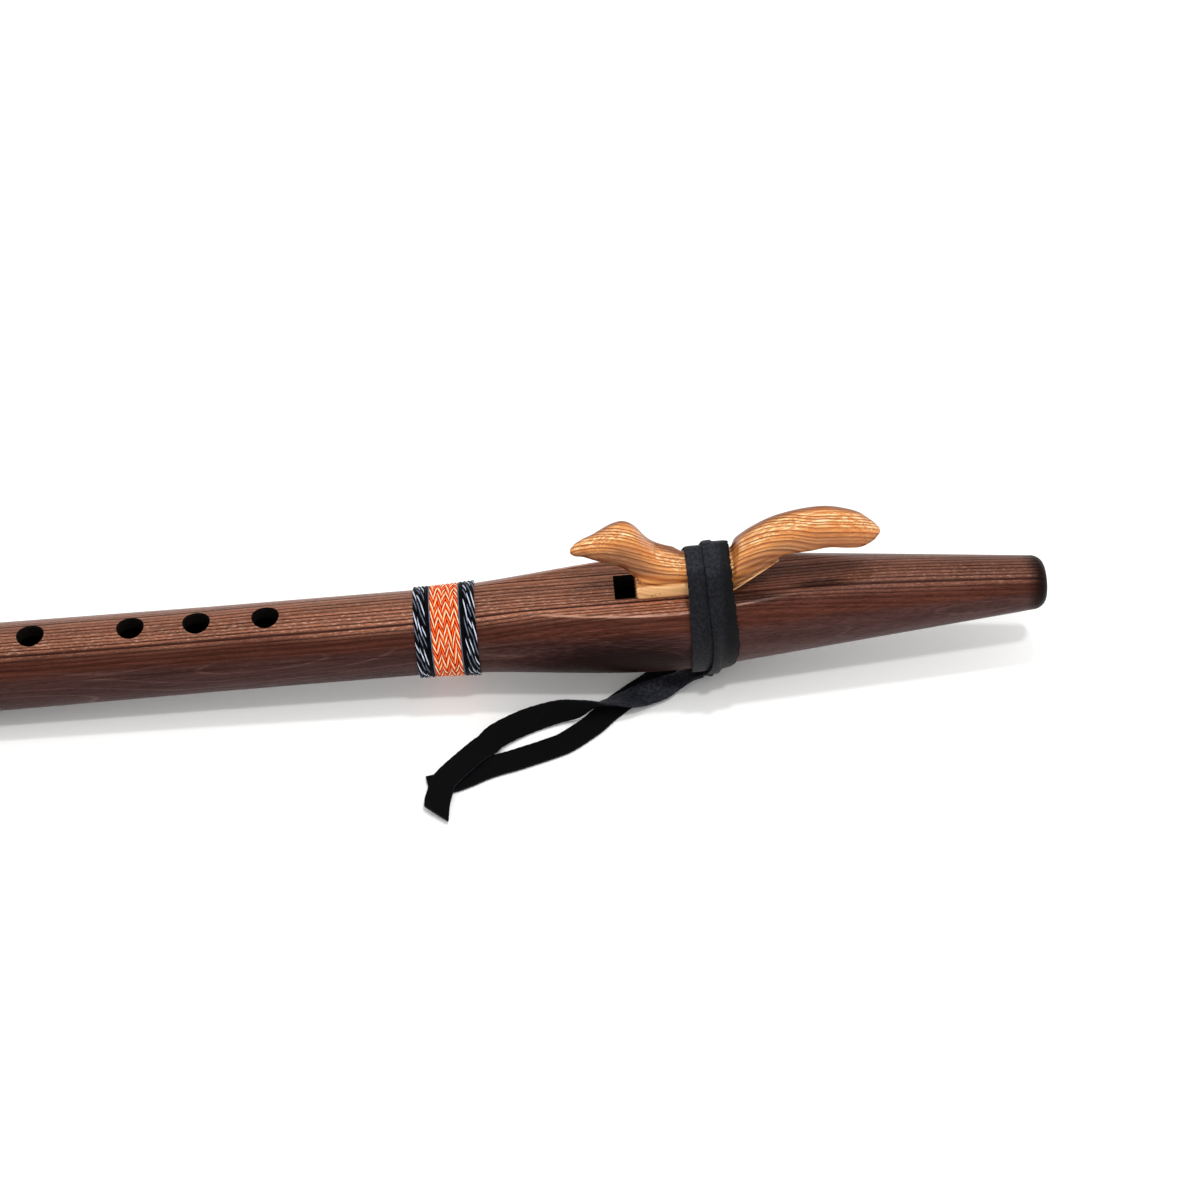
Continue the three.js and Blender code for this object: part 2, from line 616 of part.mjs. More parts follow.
const LOWER_END_ROUTE = [
  [-3, 3.5, 1, 0], [-8, 2.5, 1, 0], [-14, -2.4, 1, 0], [-20.4, -8, 1, 0], [-28.3, -13.6, 1, 0],
  [-37.7, -21, 1, 0], [-44.8, -27.7, 1, 0], [-54.6, -34.7, 1, 0], [-62, -37.7, 1, 0],
  [-74, -41.6, 1, 0], [-83.7, -44.3, 1, 0], [-92.1, -47.9, 1, 0], [-97.3, -49.8, 1, 0],
  [-106.6, -51.5, 1, 0],
];

// Points round a loose end's section, as shares of its half width and half thickness
const looseSectionShares = [
  [1, -0.4], [1, 0.4], [0.9, 1], [-0.9, 1], [-1, 0.4], [-1, -0.4], [-0.9, -1], [0.9, -1],
];

function looseEnd(name, route, steps) {
  const places = route.map(([x, y, z]) => new THREE.Vector3(KNOT_X + x, KNOT_Y + y, z));
  const curve = new THREE.CatmullRomCurve3(places);
  const rings = [];
  for (let i = 0; i <= steps; i++) {
    const at = (i / steps) * (route.length - 1);
    const before = Math.min(Math.floor(at), route.length - 2);
    const roll = degrees(lerp(route[before][3], route[before + 1][3], at - before));
    const place = curve.getPoint(i / steps);
    const ahead = curve.getTangent(i / steps);
    const flat = new THREE.Vector3(-ahead.y, ahead.x, 0).normalize();
    const up = new THREE.Vector3().crossVectors(ahead, flat);
    const across = flat.clone().multiplyScalar(Math.cos(roll)).addScaledVector(up, Math.sin(roll));
    const normal = new THREE.Vector3().crossVectors(ahead, across);
    rings.push(looseSectionShares.map(([wide, thick]) => place.clone()
      .addScaledVector(across, (wide * STRAP_WIDTH) / 2)
      .addScaledVector(normal, (thick * STRAP_THICKNESS) / 2)));
  }
  const trimmed = toSolid(loft(rings)).subtract(knotLump(SEAT_GAP));
  return piece(name, toGeometry(trimmed), LEATHER, LEATHER_ROUGHNESS);
}

// The flute leans, and the knot and the loose ends lie level with the table
const leaning = new THREE.Group();
leaning.add(...bodyHalves(), boreDivider(), totemBlock(), strapWrap(), ...threadBands());
leaning.rotation.y = -LEAN;
leaning.position.set(KNOT_X * (1 - Math.cos(LEAN)), 0, FOOT_AXIS_HEIGHT);

const standing = new THREE.Group();
standing.add(leaning, strapKnot());

const flute = new THREE.Group();
flute.add(standing);
flute.add(looseEnd('strap_end_upper', UPPER_END_ROUTE, UPPER_END_STEPS));
flute.add(looseEnd('strap_end_lower', LOWER_END_ROUTE, LOWER_END_STEPS));

// The origin is under the middle of the flute, on the table
const box = new THREE.Box3().setFromObject(standing, true);
const middle = box.getCenter(new THREE.Vector3());
flute.position.set(-middle.x, -middle.y, -box.min.z);

export default flute;
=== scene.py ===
import json
import math

import bmesh
import bpy
import numpy as np
from bpy.props import FloatProperty, FloatVectorProperty, IntProperty, PointerProperty
from mathutils import Matrix, Vector


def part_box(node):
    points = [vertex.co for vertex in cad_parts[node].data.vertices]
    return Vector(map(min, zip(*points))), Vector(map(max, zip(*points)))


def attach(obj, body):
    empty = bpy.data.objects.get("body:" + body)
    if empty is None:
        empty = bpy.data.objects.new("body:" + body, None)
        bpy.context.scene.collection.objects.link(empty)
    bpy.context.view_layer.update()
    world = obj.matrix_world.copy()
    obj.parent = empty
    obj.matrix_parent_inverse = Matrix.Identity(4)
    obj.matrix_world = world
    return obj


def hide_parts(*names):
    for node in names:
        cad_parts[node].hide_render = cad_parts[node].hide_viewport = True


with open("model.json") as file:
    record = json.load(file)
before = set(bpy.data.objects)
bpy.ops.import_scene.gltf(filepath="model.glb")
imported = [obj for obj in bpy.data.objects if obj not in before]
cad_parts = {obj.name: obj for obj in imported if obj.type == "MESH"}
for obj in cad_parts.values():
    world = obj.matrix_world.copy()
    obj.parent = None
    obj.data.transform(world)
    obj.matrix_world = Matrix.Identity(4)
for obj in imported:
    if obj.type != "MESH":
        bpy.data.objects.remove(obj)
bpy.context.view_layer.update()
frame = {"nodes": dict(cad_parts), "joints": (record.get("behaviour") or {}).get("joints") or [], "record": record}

bl_info = {
    "name": "Six Hole Wooden Flute",
    "version": (1, 0, 0),
    "blender": (4, 5, 0),
    "location": "View3D > Sidebar > Flute",
    "description": "Makes a wooden flute with a carved block, a leather strap and thread bands",
    "category": "Add Mesh",
}

# Where the flute lies: its axis, the centre of its foot, and how far below that centre the
# mount on the foot's face is
MOUNTS = {mount["name"]: mount for mount in frame["record"]["mounts"]}
FOOT_FACE_DROP = 0.01315
ALONG = Vector(frame["joints"][0]["axis"]).normalized()
ACROSS = Vector((0, 1, 0))
UPWARD = ALONG.cross(ACROSS)
FOOT = Vector(MOUNTS["foot_end_face"]["pos_m"]) + FOOT_FACE_DROP * UPWARD
LEAN = math.asin(ALONG.z)
MILLIMETRES = 1000
FLUTE_BODY = "flute_body"
BLOCK_BODY = "block"


# Settings

def length(name, description, default):
    return FloatProperty(
        name=name, description=description, default=default, min=0, unit="LENGTH", precision=5)


def colour(name, description, default):
    return FloatVectorProperty(
        name=name, description=description, default=default, size=3, min=0, max=1,
        subtype="COLOR_GAMMA")


class FluteBodySettings(bpy.types.PropertyGroup):
    length: length("Length", "From the foot to the mouth end", 0.523)
    foot_radius: length("Foot radius", "Outer radius at the foot", 0.0173)
    barrel_radius: length("Barrel radius", "Outer radius of the barrel", 0.016)
    swell_radius: length("Swell radius", "Outer radius at the fullest place", 0.022)
    mouth_radius: length("Mouth radius", "Outer radius just before the rounded end", 0.0103)
    bore_radius: length("Bore radius", "Radius of the sound bore", 0.011)
    hole_radius: length("Finger hole radius", "Radius of each finger hole", 0.005)
    wood_colour: colour("Wood", "Colour between the growth lines", (0.59, 0.365, 0.26))
    line_colour: colour("Growth lines", "Colour of the growth lines", (0.19, 0.085, 0.055))
    # Pale glints: painted glints on the top and a painted highlight along the nest's near edge
    glint_colour: colour("Flecks", "Colour of the pale flecks", (0.76, 0.58, 0.50))
    # Darker middle and side colours: partly the wood's own colour, partly painted shade down the sides
    middle_colour: colour("Middle wood", "Colour halfway down the sides", (0.31, 0.15, 0.10))
    middle_line_colour: colour("Middle lines", "Colour of the lines there", (0.13, 0.055, 0.035))
    side_colour: colour("Side wood", "Colour of the plain wood of the sides", (0.252, 0.147, 0.135))
    side_line_colour: colour(
        "Side lines", "Colour of the faint lines of the sides", (0.43, 0.30, 0.27))
    # Dark patches: painted shade under the block's tail, and the swell darker low on its near side
    dark_patch_colour: colour("Stain", "Colour of the dark stains", (0.085, 0.04, 0.035))
    burnt_colour: colour("Burnt rim", "Colour of the scorched mouth end", (0.07, 0.04, 0.035))
    # Char of the burnt holes, and painted shade that blackens the bore
    char_and_shade_colour: colour("Char", "Colour of the bore and the burnt holes", (0.03, 0.022, 0.022))


class FluteBlockSettings(bpy.types.PropertyGroup):
    length: length("Length", "From the snout to the tip of the tail", 0.1136)
    width: length("Width", "Across the flute", 0.0142)
    height: length("Height", "From the nest to the brow", 0.0324)
    wood_colour: colour("Wood", "Colour between the growth lines", (0.89, 0.59, 0.32))
    line_colour: colour("Growth lines", "Colour of the growth lines", (0.37, 0.15, 0.035))
    warm_colour: colour("Warm wood", "Colour of the browner streaks", (0.76, 0.42, 0.18))
    # Colour of the painted shade on the far side, under the carving and under the tail, and of the dark specks
    shade_and_speck_colour: colour("Underside", "Colour where the carving turns under", (0.38, 0.18, 0.07))
    strip_colour: colour("Foot strip", "Colour of the uncarved strip", (0.98, 0.77, 0.54))
    # Pale glints of the block: its painted highlight
    glint_colour: colour("Flecks", "Colour of the pale flecks", (1.0, 0.90, 0.68))


class FluteStrapSettings(bpy.types.PropertyGroup):
    width: length("Width", "Width of the leather lace", 0.0095)
    thickness: length("Thickness", "Thickness of the leather lace", 0.0015)
    grain_colour: colour("Grain side", "Colour of the smooth side", (0.075, 0.078, 0.095))
    suede_colour: colour("Suede side", "Colour of the rough side", (0.016, 0.017, 0.022))


class FluteBandSettings(bpy.types.PropertyGroup):
    start: length("Start", "From the foot to the first band", 0.2865)
    grey_width: length("Grey width", "Width of each outer band", 0.0062)
    bright_width: length("Bright width", "Width of the middle band", 0.0105)
    thickness: length("Thickness", "How proud the thread stands", 0.00115)
    red: colour("Red", "Colour of the red ply", (0.70, 0.025, 0.02))
    orange: colour("Orange", "Colour of the orange ply", (1.0, 0.42, 0.12))
    cream: colour("Cream", "Colour of the pale ply", (1.0, 0.88, 0.68))
    black: colour("Black", "Colour of the black ply", (0.008, 0.009, 0.02))
    grey: colour("Blue grey", "Colour of the grey ply", (0.40, 0.43, 0.49))
    silver: colour("Silver", "Colour of the palest grey ply", (0.80, 0.83, 0.90))


class FluteStageSettings(bpy.types.PropertyGroup):
    lens: FloatProperty(name="Lens", description="Focal length in millimetres", default=75.0)
    azimuth: FloatProperty(name="Azimuth", description="Compass turn of the camera", default=3.214)
    elevation: FloatProperty(name="Elevation", description="How far it looks down", default=48.193)
    roll: FloatProperty(name="Roll", description="How far it is tipped", default=-1.138)
    floor_colour: colour("Floor", "Colour of the table", (0.99, 0.99, 0.985))
    daylight: FloatProperty(
        name="Daylight", description="Strength of the light all round", default=0.93)


# Materials

# Where the edge of a dark mark begins and ends, in shares of its reach
DARK_MARK_EDGE = (0.5, 1.5)


def linear(shade):
    """A display colour as the light it stands for, with full cover"""
    return [v / 12.92 if v <= 0.04045 else ((v + 0.055) / 1.055) ** 2.4 for v in shade] + [1.0]


class Finish:
    """A material or a world built from nodes. Each call adds nodes and returns an output."""

    def __init__(self, owner):
        self.owner = owner
        owner.use_nodes = True
        self.tree = owner.node_tree
        self.tree.nodes.clear()

    def node(self, kind, inputs, **settings):
        made = self.tree.nodes.new(kind)
        for name, value in settings.items():
            setattr(made, name, value)
        for key, value in inputs.items():
            if isinstance(value, bpy.types.NodeSocket):
                self.tree.links.new(value, made.inputs[key])
            else:
                made.inputs[key].default_value = value
        return made

    def calc(self, operation, *values):
        return self.node("ShaderNodeMath", dict(enumerate(values)), operation=operation).outputs[0]

    def times(self, first, *others):
        """The product of several values"""
        for other in others:
            first = self.calc("MULTIPLY", first, other)
        return first

    def rest(self, share):
        """What a share leaves of the whole"""
        return self.calc("SUBTRACT", 1.0, share)

    def arrows(self, operation, *vectors):
        """A sum of vectors, with its vector and its number as outputs"""
        inputs = dict(enumerate(vectors))
        return self.node("ShaderNodeVectorMath", inputs, operation=operation).outputs

    def scaled(self, vector, factors):
        return self.arrows("MULTIPLY", vector, factors)[0]

    def along(self, vector, direction):
        """How far a place lies along a direction"""
        return self.arrows("DOT_PRODUCT", vector, direction)[1]

    def reach(self, vector):
        return self.arrows("LENGTH", vector)[1]

    def place(self):
        """Where a point of the flute lies in its own axes, in millimetres"""
        coordinates = self.node("ShaderNodeTexCoord", {}).outputs["Object"]
        inputs = {"Vector": coordinates, "Location": FOOT, "Rotation": (0, -LEAN, 0)}
        inputs["Scale"] = [1 / MILLIMETRES] * 3
        return self.node("ShaderNodeMapping", inputs, vector_type="TEXTURE").outputs[0]

    def split(self, vector):
        return self.node("ShaderNodeSeparateXYZ", {0: vector}).outputs

    def joined(self, *values):
        return self.node("ShaderNodeCombineXYZ", dict(enumerate(values))).outputs[0]

    def noise(self, vector, scale=1.0, detail=3.0, roughness=0.55):
        inputs = {"Vector": vector, "Scale": scale, "Detail": detail, "Roughness": roughness}
        return self.node("ShaderNodeTexNoise", inputs).outputs[0]

    def grain(self, place, fineness, detail=3.0):
        """Noise drawn out along the flute"""
        return self.noise(self.scaled(place, fineness), detail=detail)

    def spread(self, value, low, high, to_low=0.0, to_high=1.0, smooth=True):
        """A value between two limits, brought to the range between two others"""
        kind = "SMOOTHSTEP" if smooth else "LINEAR"
        inputs = {0: value, 1: low, 2: high, 3: to_low, 4: to_high}
        return self.node("ShaderNodeMapRange", inputs, interpolation_type=kind).outputs[0]

    def between(self, value, start, full, fall, end):
        """1 from one limit to another, eased to 0 before and after them"""
        return self.times(self.spread(value, start, full), self.spread(value, fall, end, 1.0, 0.0))

    def mix(self, share, first, second, blend="MIX"):
        inputs = {0: share, 6: first, 7: second}
        return self.node("ShaderNodeMix", inputs, data_type="RGBA", blend_type=blend).outputs[2]

    def paint(self, under, share, colour):
        """A share of a display colour laid over a mixed colour or over another display colour"""
        mixed = isinstance(under, bpy.types.NodeSocket)
        return self.mix(share, under if mixed else linear(under), linear(colour))

    def shaded(self, shade, light):
        """A mixed colour, or a display colour, made lighter or darker"""
        mixed = isinstance(shade, bpy.types.NodeSocket)
        grey = self.joined(light, light, light)
        return self.mix(1.0, shade if mixed else linear(shade), grey, "MULTIPLY")

    def with_dark_marks(self, shade, place, marks, mark_colour, waver):
        """A colour with dark marks, their edges as uneven as the waver"""
        for centre, size, strength in marks:
            offset = self.arrows("SUBTRACT", place, centre)[0]
            far = self.reach(self.scaled(offset, tuple(1 / side for side in size)))
            far = self.calc("ADD", far, waver)
            shade = self.paint(shade, self.spread(far, *DARK_MARK_EDGE, strength, 0.0), mark_colour)
        return shade

    def bump(self, height, distance, normal=None):
        inputs = {"Height": height, "Distance": distance, "Strength": 1.0}
        if normal is not None:
            inputs["Normal"] = normal
        return self.node("ShaderNodeBump", inputs).outputs[0]

    def shader(self, **inputs):
        named = {key.replace("_", " "): value for key, value in inputs.items()}
        shader = self.node("ShaderNodeBsdfPrincipled", named)
        self.tree.links.new(shader.outputs[0], self.node("ShaderNodeOutputMaterial", {}).inputs[0])
        return self.owner


def new_finish(name):
    return Finish(bpy.data.materials.new(name))


# Grain of any board. Fineness is in waves per millimetre along, across and up.
SLOW_WANDER = (0.007, 0.045, 0.045)
QUICK_WANDER = (0.022, 0.16, 0.16)
QUICK_SHARE = 0.11
SPACING_CHANGE = 2.2
SPACING_FINENESS = 0.22
WEIGHT_FINENESS = 0.83
LINE_WEIGHT = (0.3, 0.6, 0.5, 1.0)
FIBRES = (0.09, 2.6, 2.6)
PORES = (0.33, 5.2, 5.2)
PORE_LIMITS = (0.60, 0.70)
WOOD_RELIEF = 0.00007

# Where a dark line begins, is full, fades and ends, in dark shares back from the end of its ring
LINE_SHARES = (1.9, 0.5, 0.25, 0)


def growth(finish, place, across, spacing, waver, dark_share):
    """Growth lines of a board, and the even fibres and pores between them. Across is the direction
    square to the rings, and the waver is how far they wander, in millimetres."""
    slow = finish.grain(place, SLOW_WANDER, 1.5)
    quick = finish.grain(place, QUICK_WANDER, 2.0)
    depth = finish.calc("MULTIPLY_ADD", slow, waver, finish.along(place, across))
    depth = finish.calc("MULTIPLY_ADD", quick, waver * QUICK_SHARE, depth)
    thick = finish.noise(finish.joined(depth), SPACING_FINENESS, 1.0)
    depth = finish.calc("MULTIPLY_ADD", thick, spacing * SPACING_CHANGE, depth)
    ring = finish.calc("FRACT", finish.calc("DIVIDE", depth, spacing))
    limits = (1 - share * dark_share for share in LINE_SHARES)
    weight = finish.noise(finish.joined(depth), WEIGHT_FINENESS, 0.0)
    line = finish.times(finish.between(ring, *limits), finish.spread(weight, *LINE_WEIGHT))
    fibre = finish.grain(place, FIBRES)
    return line, fibre, finish.spread(finish.grain(place, PORES, 1.0), *PORE_LIMITS)


# The body's rings: direction square to them, spacing and wander in millimetres, and dark share
BODY_RINGS = ((0.004, -0.985, -0.17), 1.55, 3.6, 0.44)

# The body's other grain: its fineness along, across and up
LINED_EDGE = (0.012, 0.05, 0.05)
SIDE_ARCS = (0.006, 0.05, 0.05)
BODY_TONES = (0.02, 0.3, 0.3)
# Fineness of the painted glints on the top, then of the tool marks and of the char's fibres
BODY_GLINTS = (0.55, 2.4, 2.4)
TOOL_MARKS = (1.2, 4.0, 4.0)
CHAR_FIBRES = (0.2, 2.4, 2.4)

# Changes along the flute: from and to in millimetres, and the value before and after
BAND_LIFT = (235, 310, 0.0, 0.12)
NEST_BEGINS = (318, 336)
# Run along the flute of the painted highlight on the nest's near edge
NEST_EDGE_GLINT_RUN = (325, 348, 400, 430)
LINES_FADE = (392, 404, 1.0, 0.3)
LINES_RETURN = (415, 470, 0.0, 0.15)
ARC_STRENGTH = (385, 410, 0.32, 0.12)
STREAK_LEVEL = (288, 368, -0.14, 0.03)
STREAK_STRENGTH = (362, 376, 0.7, 0.0)
SWELL_SHADE = (290, 400, 0.8, 1.0)
SCORCH = (515, 522.5, 0.0, 0.95)
SCORCH_WAVER = 4.0

# Changes across, in the same form, and depths below the nest
# How the painted glints fade towards the far side
GLINTS_ACROSS = (-7, 4, 1.0, 0.35)
# Painted shade towards the far side of the body
BODY_FAR_SIDE_SHADE = (-9, 3, 1.08, 0.82)
NEST_WOOD_DEPTHS = (0.7, 0.3)
# Depths below the nest of the painted highlight on its rounded near edge
NEST_EDGE_GLINT_DEPTHS = (0.55, 0.35, 0.2, 0.08)

# Changes with height on the side, where 1 is the top and 0 is halfway down, and what moves them
NEAR_SIDE_LIFT = 0.25
LINED_EDGE_WANDER = 0.4
LINED_HEIGHTS = (0.79, 1.13)
MIDDLE_HEIGHTS = (0.40, 0.66)
STREAK_HEIGHTS = (0.46, 0.5, 0.5, 0.55)

# Strengths of the body's grain, and what its noise turns into
ARC_COUNT = 11.0
ARC_LIMITS = (0.84, 0.93, 0.95, 1.0)
MIDDLE_LINE_SHARE = 0.5
BODY_PORE_SHARE = 0.55
BODY_FIBRE_LIGHT = (0.3, 0.72, 0.74, 1.2)
BODY_TONE_LIGHT = (0.3, 0.7, 0.84, 1.12)
# Limits and share on top of the painted glints, and fibres of the painted highlight on the nest's edge
BODY_GLINT_LIMITS = (0.52, 0.68)
BODY_GLINTS_ON_TOP = (0.0, 1.0, 0.02, 0.88)
NEST_EDGE_GLINT_FIBRES = (0.36, 0.6, 0.25, 0.9)
PATCH_WAVER = (1.2, -0.6)
BODY_FIBRE_RELIEF = 0.5
BODY_LINE_RELIEF = 0.55
BODY_PORE_RELIEF = 0.6
BODY_GLOSS = (0.3, 0.7, 0.27, 0.40)
BODY_SHINE = (0.004, 0.05, 0.03, 0.17)
TOOL_RELIEF = 0.0001
CHAR_LIMITS = (0.35, 0.7)
CHAR_FIBRE_COLOUR = (0.11, 0.075, 0.06)

# Dark patches on the body: centre and reach in millimetres, and strength. The two on the nest are painted shade
# under the block's tail, and the third makes the swell darker low on its near side, above the loose ends
BODY_DARK_PATCHES = (
    ((437, -6, 15.5), (9, 1.9, 3), 0.7),
    ((410, -10, 15), (14, 2.6, 4), 0.7),
    ((362, -20, -3.5), (32, 16, 12), 0.95),
)


def walnut_height(finish, place):
    """How high a place lies on the body's side, with the unevenness of the lined wood's edge"""
    x, y, z = finish.split(place)
    radius = finish.reach(finish.scaled(place, (0, 1, 1)))
    height = finish.calc("DIVIDE", finish.calc("MULTIPLY_ADD", y, NEAR_SIDE_LIFT, z), radius)
    wander = finish.grain(place, LINED_EDGE)
    height = finish.calc("MULTIPLY_ADD", wander, LINED_EDGE_WANDER, height)
    return finish.calc("ADD", height, finish.spread(x, *BAND_LIFT))


def walnut_top_share(finish, place, height, nest):
    """How much of the lined, lighter wood of the top shows, high on the sides and all over the nest: partly the
    wood's own figure, partly painted light where the body faces up
    """
    x, _, z = finish.split(place)
    nest_limits = (nest - depth for depth in NEST_WOOD_DEPTHS)
    on_nest = finish.times(finish.spread(z, *nest_limits), finish.spread(x, *NEST_BEGINS))
    upper = finish.calc("MAXIMUM", finish.spread(height, *LINED_HEIGHTS), on_nest)
    fading = finish.calc("ADD", finish.spread(x, *LINES_FADE), finish.spread(x, *LINES_RETURN))
    return finish.times(upper, fading)


def walnut_sides(finish, place, line, height):
    """Plain wood low on the sides with faint arcs, redder lined wood above, and a dark streak, darker than the
    top: partly the wood's own colour, partly painted shade
    """
    body = bpy.context.scene.flute_body
    x = finish.split(place)[0]
    arcs = finish.times(finish.grain(place, SIDE_ARCS, 1.0), ARC_COUNT)
    arc = finish.between(finish.calc("FRACT", arcs), *ARC_LIMITS)
    arc = finish.times(arc, finish.spread(x, *ARC_STRENGTH))
    plain = finish.paint(body.side_colour, arc, body.side_line_colour)
    middle_line = finish.times(line, MIDDLE_LINE_SHARE)
    middle = finish.paint(body.middle_colour, middle_line, body.middle_line_colour)
    wood = finish.mix(finish.spread(height, *MIDDLE_HEIGHTS), plain, middle)
    level = finish.spread(x, *STREAK_LEVEL, smooth=False)
    streak = finish.between(finish.calc("SUBTRACT", height, level), *STREAK_HEIGHTS)
    streak = finish.times(streak, finish.spread(x, *STREAK_STRENGTH))
    wood = finish.paint(wood, streak, body.line_colour)
    return finish.shaded(wood, finish.spread(x, *SWELL_SHADE))


def walnut_glints(finish, place, line, fibre, upper, nest):
    """How much painted glint shows: between the lines on top, and as a painted highlight along the nest's rounded
    near edge
    """
    x, y, z = finish.split(place)
    glints = finish.times(
        finish.spread(finish.grain(place, BODY_GLINTS, 2.0), *BODY_GLINT_LIMITS),
        finish.spread(upper, *BODY_GLINTS_ON_TOP), finish.rest(line),
        finish.spread(y, *GLINTS_ACROSS))
    edge = finish.times(
        finish.between(z, *(nest - depth for depth in NEST_EDGE_GLINT_DEPTHS)),
        finish.between(x, *NEST_EDGE_GLINT_RUN), finish.spread(fibre, *NEST_EDGE_GLINT_FIBRES))
    return finish.calc("MAXIMUM", glints, edge)


def walnut():
    """Oiled dark wood of the body, lined and lighter above and plain and darker along the sides, partly as painted
    light and painted shade, with painted glints and painted shade on the far side
    """
    body = bpy.context.scene.flute_body
    nest = body.barrel_radius * MILLIMETRES
    finish = new_finish("oiled_walnut")
    place = finish.place()
    x, y, _ = finish.split(place)
    line, fibre, pores = growth(finish, place, *BODY_RINGS)
    height = walnut_height(finish, place)
    upper = walnut_top_share(finish, place, height, nest)
    # Lined top against darker sides: the wood's figure, with painted light on top and painted shade down the sides
    lined = finish.paint(body.wood_colour, line, body.line_colour)
    wood = finish.mix(upper, walnut_sides(finish, place, line, height), lined)
    tones = finish.grain(place, BODY_TONES, 2.0)
    # Fibre and tone vary the wood, and the far side gets painted shade
    wood = finish.shaded(wood, finish.times(
        finish.spread(fibre, *BODY_FIBRE_LIGHT), finish.spread(tones, *BODY_TONE_LIGHT),
        finish.spread(y, *BODY_FAR_SIDE_SHADE)))
    wood = finish.paint(wood, finish.times(pores, BODY_PORE_SHARE), body.line_colour)
    # Painted glints on the top, and a painted highlight along the nest's edge
    glints = walnut_glints(finish, place, line, fibre, upper, nest)
    wood = finish.paint(wood, glints, body.glint_colour)
    # Painted shade under the block's tail, and a darker patch low on the swell
    waver = finish.calc("MULTIPLY_ADD", fibre, *PATCH_WAVER)
    wood = finish.with_dark_marks(wood, place, BODY_DARK_PATCHES, body.dark_patch_colour, waver)
    scorch = finish.spread(finish.calc("MULTIPLY_ADD", fibre, SCORCH_WAVER, x), *SCORCH)
    wood = finish.paint(wood, scorch, body.burnt_colour)
    raised, sunk = finish.times(fibre, BODY_FIBRE_RELIEF), finish.times(line, BODY_LINE_RELIEF)
    relief = finish.calc("SUBTRACT", raised, sunk)
    relief = finish.calc("SUBTRACT", relief, finish.times(pores, BODY_PORE_RELIEF))
    marks = finish.grain(place, TOOL_MARKS, 2.0)
    normal = finish.bump(marks, TOOL_RELIEF, finish.bump(relief, WOOD_RELIEF))
    gloss = finish.spread(fibre, *BODY_GLOSS)
    lightness = finish.node("ShaderNodeRGBToBW", {0: wood}).outputs[0]
    shine = finish.spread(lightness, *BODY_SHINE)
    return finish.shader(Base_Color=wood, Roughness=gloss, Normal=normal, Specular_IOR_Level=shine)


def charred_and_shaded_wood():
    """Nearly black wood inside the bore and the holes: char of the burnt holes, and painted shade deep in the bore
    """
    finish = new_finish("charred_and_shaded_bore_wood")
    fibre = finish.grain(finish.place(), CHAR_FIBRES)
    char = bpy.context.scene.flute_body.char_and_shade_colour
    shade = finish.paint(char, finish.spread(fibre, *CHAR_LIMITS), CHAR_FIBRE_COLOUR)
    normal = finish.bump(fibre, TOOL_RELIEF)
    return finish.shader(Base_Color=shade, Roughness=0.8, Normal=normal, Specular_IOR_Level=0.1)


# The block's rings and other grain, in the same form as the body's
BLOCK_RINGS = ((0.03, 0.85, 0.50), 1.25, 3.4, 0.4)
BLOCK_TONES = (0.03, 0.2, 0.2)
# Fineness of the pale streaks of painted highlight
BLOCK_HIGHLIGHT_STREAKS = (0.05, 1.3, 1.0)

# How far the carving sweeps up at the head, at the tail and at its tip, in millimetres
HEAD_SWEEP = (352, 384, 9.0, 0.0)
TAIL_SWEEP = (390, 420, 0.0, 12.0)
TIP_SWEEP = (424, 437, 0.0, -3.0)

# Changes along, across and up the block, in millimetres
# The underside and far half give painted shade, and the near half the painted highlight
TAIL_UNDERSIDE = (378, 400, 1.0, 0.58)
FAR_HALF = (0.4, 3.0, 0.0, 0.8)
NEAR_HALF = (0.0, 2.0, 1.0, 0.1)
STRIP_SIDE = (6.3, 6.6)
UNDERSIDE_BEGINS = (26, 31)
SLANT_ENDS = (30.5, 32.5, 1.0, 0.0)

# Millimetres above the top of the foot strip, and past the slanted rear face
# Painted shade in the hollow above the strip, under the tail on the slanted face, and in a painted groove along
# it; the rest place the pale strip
HOLLOW_HEIGHTS = (0, 0.3, 0.6, 1.8)
STRIP_EDGE_HEIGHTS = (-0.1, 0.1)
SLANT_SHADOW = (-9.0, -3.0)
SLANT_GROOVE = (-2.3, -1.9, -1.7, -1.4)
SLANT_RIM = (-1.6, -1.3)
STRIP_ENDS = (-3.5, -2.5, 1.0, 0.0)

# Changes with the way a surface faces, across and up
# Facing far or down gives painted shade, and facing near and up the painted highlight
FACING_FAR = (0.15, 0.5, 0.0, 0.85)
FACING_NEAR = (-0.1, 0.25, 1.0, 0.0)
FACING_DOWN = (-0.35, 0.6, 1.0, 0.0)
FACING_UP = (0.5, 0.85)

# Strengths of the block's grain, and what its noise turns into
BLOCK_LINE_SHARE = 0.9
BLOCK_PORE_SHARE = 0.5
BLOCK_WARM_TONES = (0.38, 0.66, 0.0, 0.55)
BLOCK_FIBRE_LIGHT = (0.3, 0.72, 0.8, 1.16)
# Strength of the painted highlight, and the share of it left where the carving is not lit
BLOCK_HIGHLIGHT_STRENGTH = (0.44, 0.62, 0.0, 0.7)
BLOCK_STREAKS_BY_LIGHT = (0.0, 1.0, 0.12, 1.0)
# Shares of painted shade on the slanted face, in its painted groove and in the hollow
SLANT_SHADOW_SHARE = 0.5
SLANT_GROOVE_SHARE = 0.8
HOLLOW_SHARE = 0.6
STRIP_SHARE = 0.9
STRIP_LINE_SHARE = 0.2
SPECK_WAVER = 0.5
BLOCK_FIBRE_RELIEF = 0.4
BLOCK_LINE_RELIEF = 0.6
BLOCK_GLOSS = (0.3, 0.7, 0.27, 0.38)

